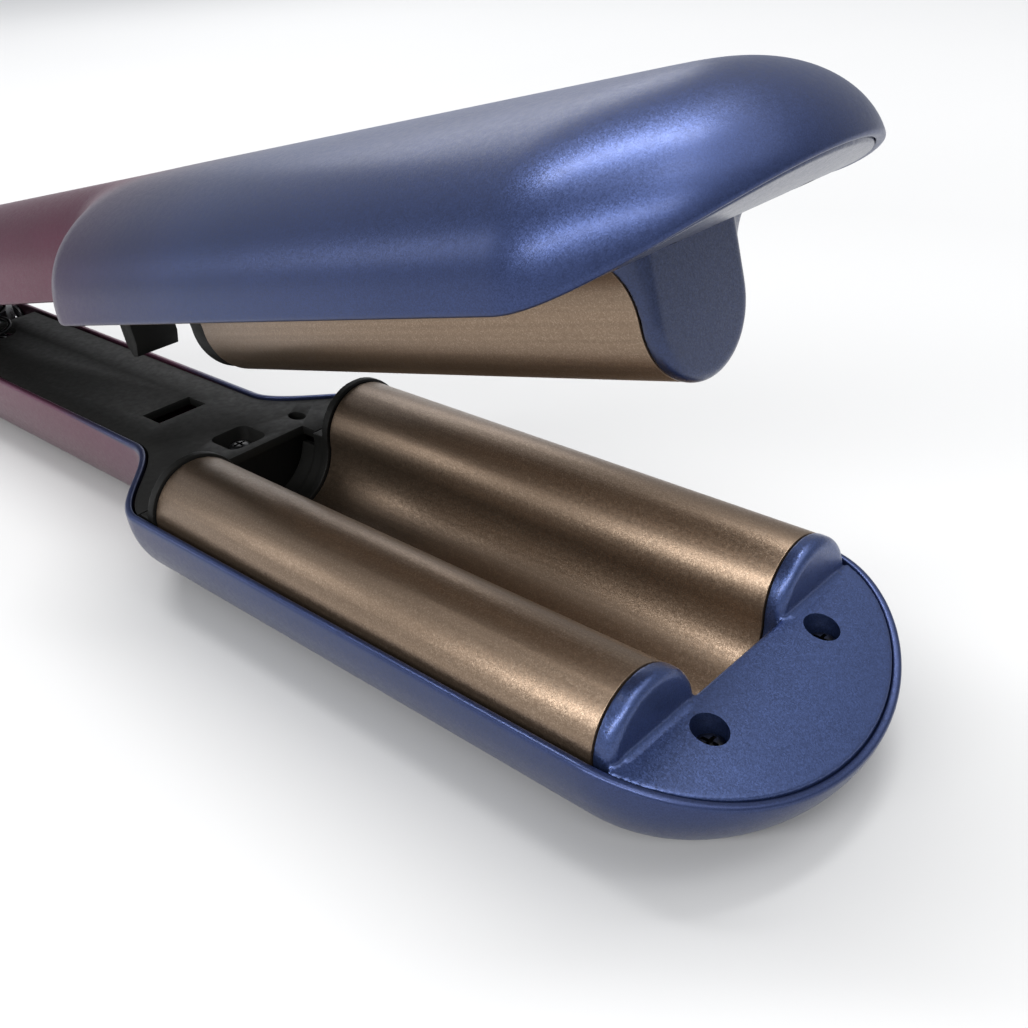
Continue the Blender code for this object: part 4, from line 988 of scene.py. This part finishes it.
def make_controls():
    """Three buttons with slightly hollow tops, and the display window with round corners."""
    top = BACK_Z + BUTTON_PROUD
    profile = [(BUTTON_LOW_Z, BUTTON_RADIUS - 0.3 * MM), (BUTTON_LOW_Z + 0.3 * MM, BUTTON_RADIUS),
               (top - 0.6 * MM, BUTTON_RADIUS)]
    profile += dome(top - 0.6 * MM, BUTTON_RADIUS, 0.6 * MM, 0.6 * MM, 4)
    profile += [(top - 0.08 * MM, 2.6 * MM), (top - 0.2 * MM, 1.4 * MM), (top - 0.22 * MM, 0.2 * MM)]
    for label, x in BUTTON_XS.items():
        button = lathe(label + "_cap", profile, (x, 0, 0), (0, 0, 1))
        finish_piece(button, BUTTON_PLASTIC, label + "_button", [label + "_button"], opened=True)
    corner_x, corner_y = DISPLAY_LENGTH / 2 - DISPLAY_CORNER, DISPLAY_WIDTH / 2 - DISPLAY_CORNER
    outline = []
    for corner, (sx, sy) in enumerate(((1, 1), (-1, 1), (-1, -1), (1, -1))):
        for k in range(7):
            angle = math.radians(90.0 * corner + 15.0 * k)
            outline.append((DISPLAY_X + sx * corner_x + DISPLAY_CORNER * math.cos(angle),
                            sy * corner_y + DISPLAY_CORNER * math.sin(angle)))
    window = slab("window", outline, BACK_Z - 2.6 * MM, BACK_Z - 0.5 * MM, XY_PLANE)
    bevel(window, 0.25 * MM, 2, 50)
    finish_piece(window, WINDOW, "upper_arm", ["display_window"], opened=True)


def make_hinge_caps():
    profile = [(15.0 * MM, PIN_CAP_RADIUS), (16.9 * MM, PIN_CAP_RADIUS)]
    profile += dome(16.9 * MM, PIN_CAP_RADIUS, 0.6 * MM, 0.9 * MM, 5)
    profile += [(17.35 * MM, 2.2 * MM), (17.3 * MM, 0.2 * MM)]
    for label, side in (("near", -1), ("far", 1)):
        cap = lathe("pin_cap_" + label, profile, (HINGE_X, 0, HINGE_Z), (0, side, 0))
        finish_piece(cap, BUTTON_PLASTIC, "lower_arm", ["hinge_cap_" + label])


def make_spring():
    """A coil whose end turns lie close together, swept as a round wire."""
    steps = SPRING_TURNS * 28
    rows = []
    for i in range(steps + 1):
        t = i / steps
        angle = 2 * math.pi * SPRING_TURNS * t
        rise = smoothstep(0.0, 1.0, t) * 0.45 + t * 0.55
        out = Vector((math.cos(angle), math.sin(angle), 0))
        centre = Vector((SPRING_X + SPRING_RADIUS * math.cos(angle), SPRING_RADIUS * math.sin(angle),
                         SPRING_LOW_Z + (SPRING_HIGH_Z - SPRING_LOW_Z) * rise))
        rows.append([centre + out * SPRING_WIRE * math.cos(a) + Vector((0, 0, SPRING_WIRE * math.sin(a)))
                     for a in (2 * math.pi * k / 12 for k in range(12))])
    coil = loft("coil", rows)
    finish_piece(coil, BLACK_STEEL, "lower_arm", ["arm_spring"])
    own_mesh(coil)


def make_gland():
    """The collar in the casing, and the ribbed gland that turns in it, both open along the middle."""
    collar_place = (COLLAR_X, 0, GLAND_Z)
    profile = [(0, COLLAR_BORE), (0, 5.7 * MM), (0.3 * MM, 6.0 * MM), (8.3 * MM, 6.0 * MM),
               (8.6 * MM, 5.7 * MM), (8.6 * MM, COLLAR_BORE)]
    collar = lathe("collar", profile, collar_place, (1, 0, 0))
    boolean(collar, [rod("bore", COLLAR_BORE, -5 * MM, 15 * MM, collar_place, (1, 0, 0))], "DIFFERENCE")
    finish_piece(collar, BLACK_PLASTIC, "lower_arm", ["gland_collar"])
    profile = [(0, 3.6 * MM), (0.25 * MM, 4.2 * MM), (0.6 * MM, 5.3 * MM)]
    for i in range(4):
        along = (0.9 + 2.0 * i) * MM
        profile += [(along, 5.6 * MM), (along + 1.1 * MM, 5.6 * MM), (along + 1.35 * MM, 5.0 * MM),
                    (along + 1.75 * MM, 5.0 * MM)]
    profile += [(8.8 * MM, 5.3 * MM), (8.8 * MM, 4.2 * MM), (18.4 * MM, 4.2 * MM), (18.4 * MM, 5.6 * MM),
                (20.2 * MM, 5.6 * MM), (20.5 * MM, 4.2 * MM)]
    gland_place = (GLAND_X, 0, GLAND_Z)
    gland = lathe("gland", profile, gland_place, (1, 0, 0))
    boolean(gland, [rod("bore", GLAND_BORE, -5 * MM, 30 * MM, gland_place, (1, 0, 0))], "DIFFERENCE")
    finish_piece(gland, BLACK_PLASTIC, "cord_swivel", ["cord_gland"])


def repaint_cad():
    """The CAD pieces that are shown as they are get their materials."""
    finishes = {
        STEEL: ("hinge_pin", "lower_hinge_bracket", "upper_hinge_bracket", "lower_thermal_fuse",
                "upper_thermal_fuse"),
        CERAMIC: ("lower_heater_near", "lower_heater_far", "upper_heater", "thermistor"),
        CARRIER: ("lower_heater_holder", "upper_heater_holder"),
        BOARD: ("control_board",),
        SLEEVE: ("heater_lead_near", "heater_lead_far", "upper_heater_lead", "inlet_lead"),
        BLACK_PLASTIC: ("power_switch", "up_switch", "down_switch"),
    }
    for material, names in finishes.items():
        for name in names:
            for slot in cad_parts[name].material_slots:
                slot.material = material


# ---------------------------------------------------------------- stage, lights and camera

FLOOR_HALF = 4.0
FLOOR_NEAR = 0.3
FLOOR_FAR = 1.4
WORLD_COLOR = (0.86, 0.88, 0.92, 1.0)
WORLD_STRENGTH = 0.5
LIGHT_TARGET = (40 * MM, 0, 60 * MM)

# Each soft panel's name, two ends, breadth and power
PANELS = (
    ("overhead_strip", (-0.72, -0.22, 1.12), (0.14, 0.36, 1.16), 0.15, 14.0),
    ("front_strip", (-0.35, -1.10, 0.50), (1.00, -0.35, 0.90), 0.14, 11.5),
    ("overhead_panel", (-0.30, 0.18, 1.25), (1.20, 0.18, 1.25), 1.4, 10.0),
    ("nose_panel", (0.28, -0.05, 1.22), (0.68, -0.05, 1.22), 0.24, 1.8),
    ("side_panel", (-1.08, -0.60, 0.42), (-0.92, -0.84, 0.42), 0.32, 1.1),
    ("back_panel", (-1.10, 0.50, 0.50), (-0.70, 1.00, 0.50), 0.35, 1.2),
)

CAMERA_LENS = 41.1
CAMERA_PLACE = (138.58 * MM, -128.27 * MM, 135.69 * MM)
CAMERA_RIGHT = Vector((0.7360, 0.6738, -0.0656))
CAMERA_DOWN = Vector((0.2972, -0.4086, -0.8630))
CAMERA_AHEAD = Vector((-0.6083, 0.6156, -0.5010))


def make_floor():
    """A pale floor that is whiter further away, so that it doesn't light the casings from below too much."""
    floor = box("floor", (-FLOOR_HALF, -FLOOR_HALF, -0.012), (FLOOR_HALF, FLOOR_HALF, 0.0))
    SCRATCH.objects.unlink(floor)
    bpy.context.scene.collection.objects.link(floor)
    n = Nodes("pale_floor")
    distance = n.add("ShaderNodeVectorMath", operation="LENGTH")
    n.join(n.place, distance.inputs[0])
    pale = n.ramp(n.remap(distance.outputs["Value"], FLOOR_NEAR, FLOOR_FAR, 0.0, 1.0),
                  [(0.0, (0.46, 0.46, 0.46)), (1.0, (0.86, 0.86, 0.86))])
    n.join(n.tint(pale, n.remap(n.noise(3.0), 0.3, 0.7, 0.98, 1.0)), n.shader.inputs["Base Color"])
    n.set(Roughness=0.9)
    floor.data.materials.append(n.material)


def area_light(name, start, end, breadth, power):
    """A soft panel whose length runs from start to end, and which faces the head."""
    start, end = Vector(start), Vector(end)
    centre = (start + end) / 2
    along = (end - start).normalized()
    away = centre - Vector(LIGHT_TARGET)
    away = (away - along * away.dot(along)).normalized()
    light = bpy.data.lights.new(name, "AREA")
    light.shape = "RECTANGLE"
    light.size = (end - start).length
    light.size_y = breadth
    light.energy = power
    obj = bpy.data.objects.new(name, light)
    turn = Matrix((along, away.cross(along), away)).transposed()
    obj.matrix_world = Matrix.Translation(centre) @ turn.to_4x4()
    obj.visible_camera = False
    bpy.context.scene.collection.objects.link(obj)


def make_lights():
    world = bpy.data.worlds.new("studio")
    world.use_nodes = True
    background = world.node_tree.nodes["Background"]
    background.inputs["Color"].default_value = WORLD_COLOR
    background.inputs["Strength"].default_value = WORLD_STRENGTH
    bpy.context.scene.world = world
    for panel in PANELS:
        area_light(*panel)


def make_camera():
    """A camera close to the tips, above and to the near side, looking back along the arms."""
    lens = bpy.data.cameras.new("camera")
    lens.lens = CAMERA_LENS
    lens.sensor_width = 36.0
    lens.clip_start = 0.01
    camera = bpy.data.objects.new("camera", lens)
    turn = Matrix((CAMERA_RIGHT, -CAMERA_DOWN, -CAMERA_AHEAD)).transposed()
    camera.matrix_world = Matrix.Translation(CAMERA_PLACE) @ turn.to_4x4()
    bpy.context.scene.collection.objects.link(camera)
    bpy.context.scene.camera = camera


make_camera()
make_floor()
make_lights()
make_casings()
make_plates()
make_lower_cap()
make_upper_cap()
make_lower_liner()
make_lower_frame()
make_upper_liner()
make_upper_frame()
make_screws()
make_controls()
make_hinge_caps()
make_spring()
make_gland()
repaint_cad()
bpy.context.scene.view_settings.view_transform = "Standard"
bpy.data.collections.remove(SCRATCH)
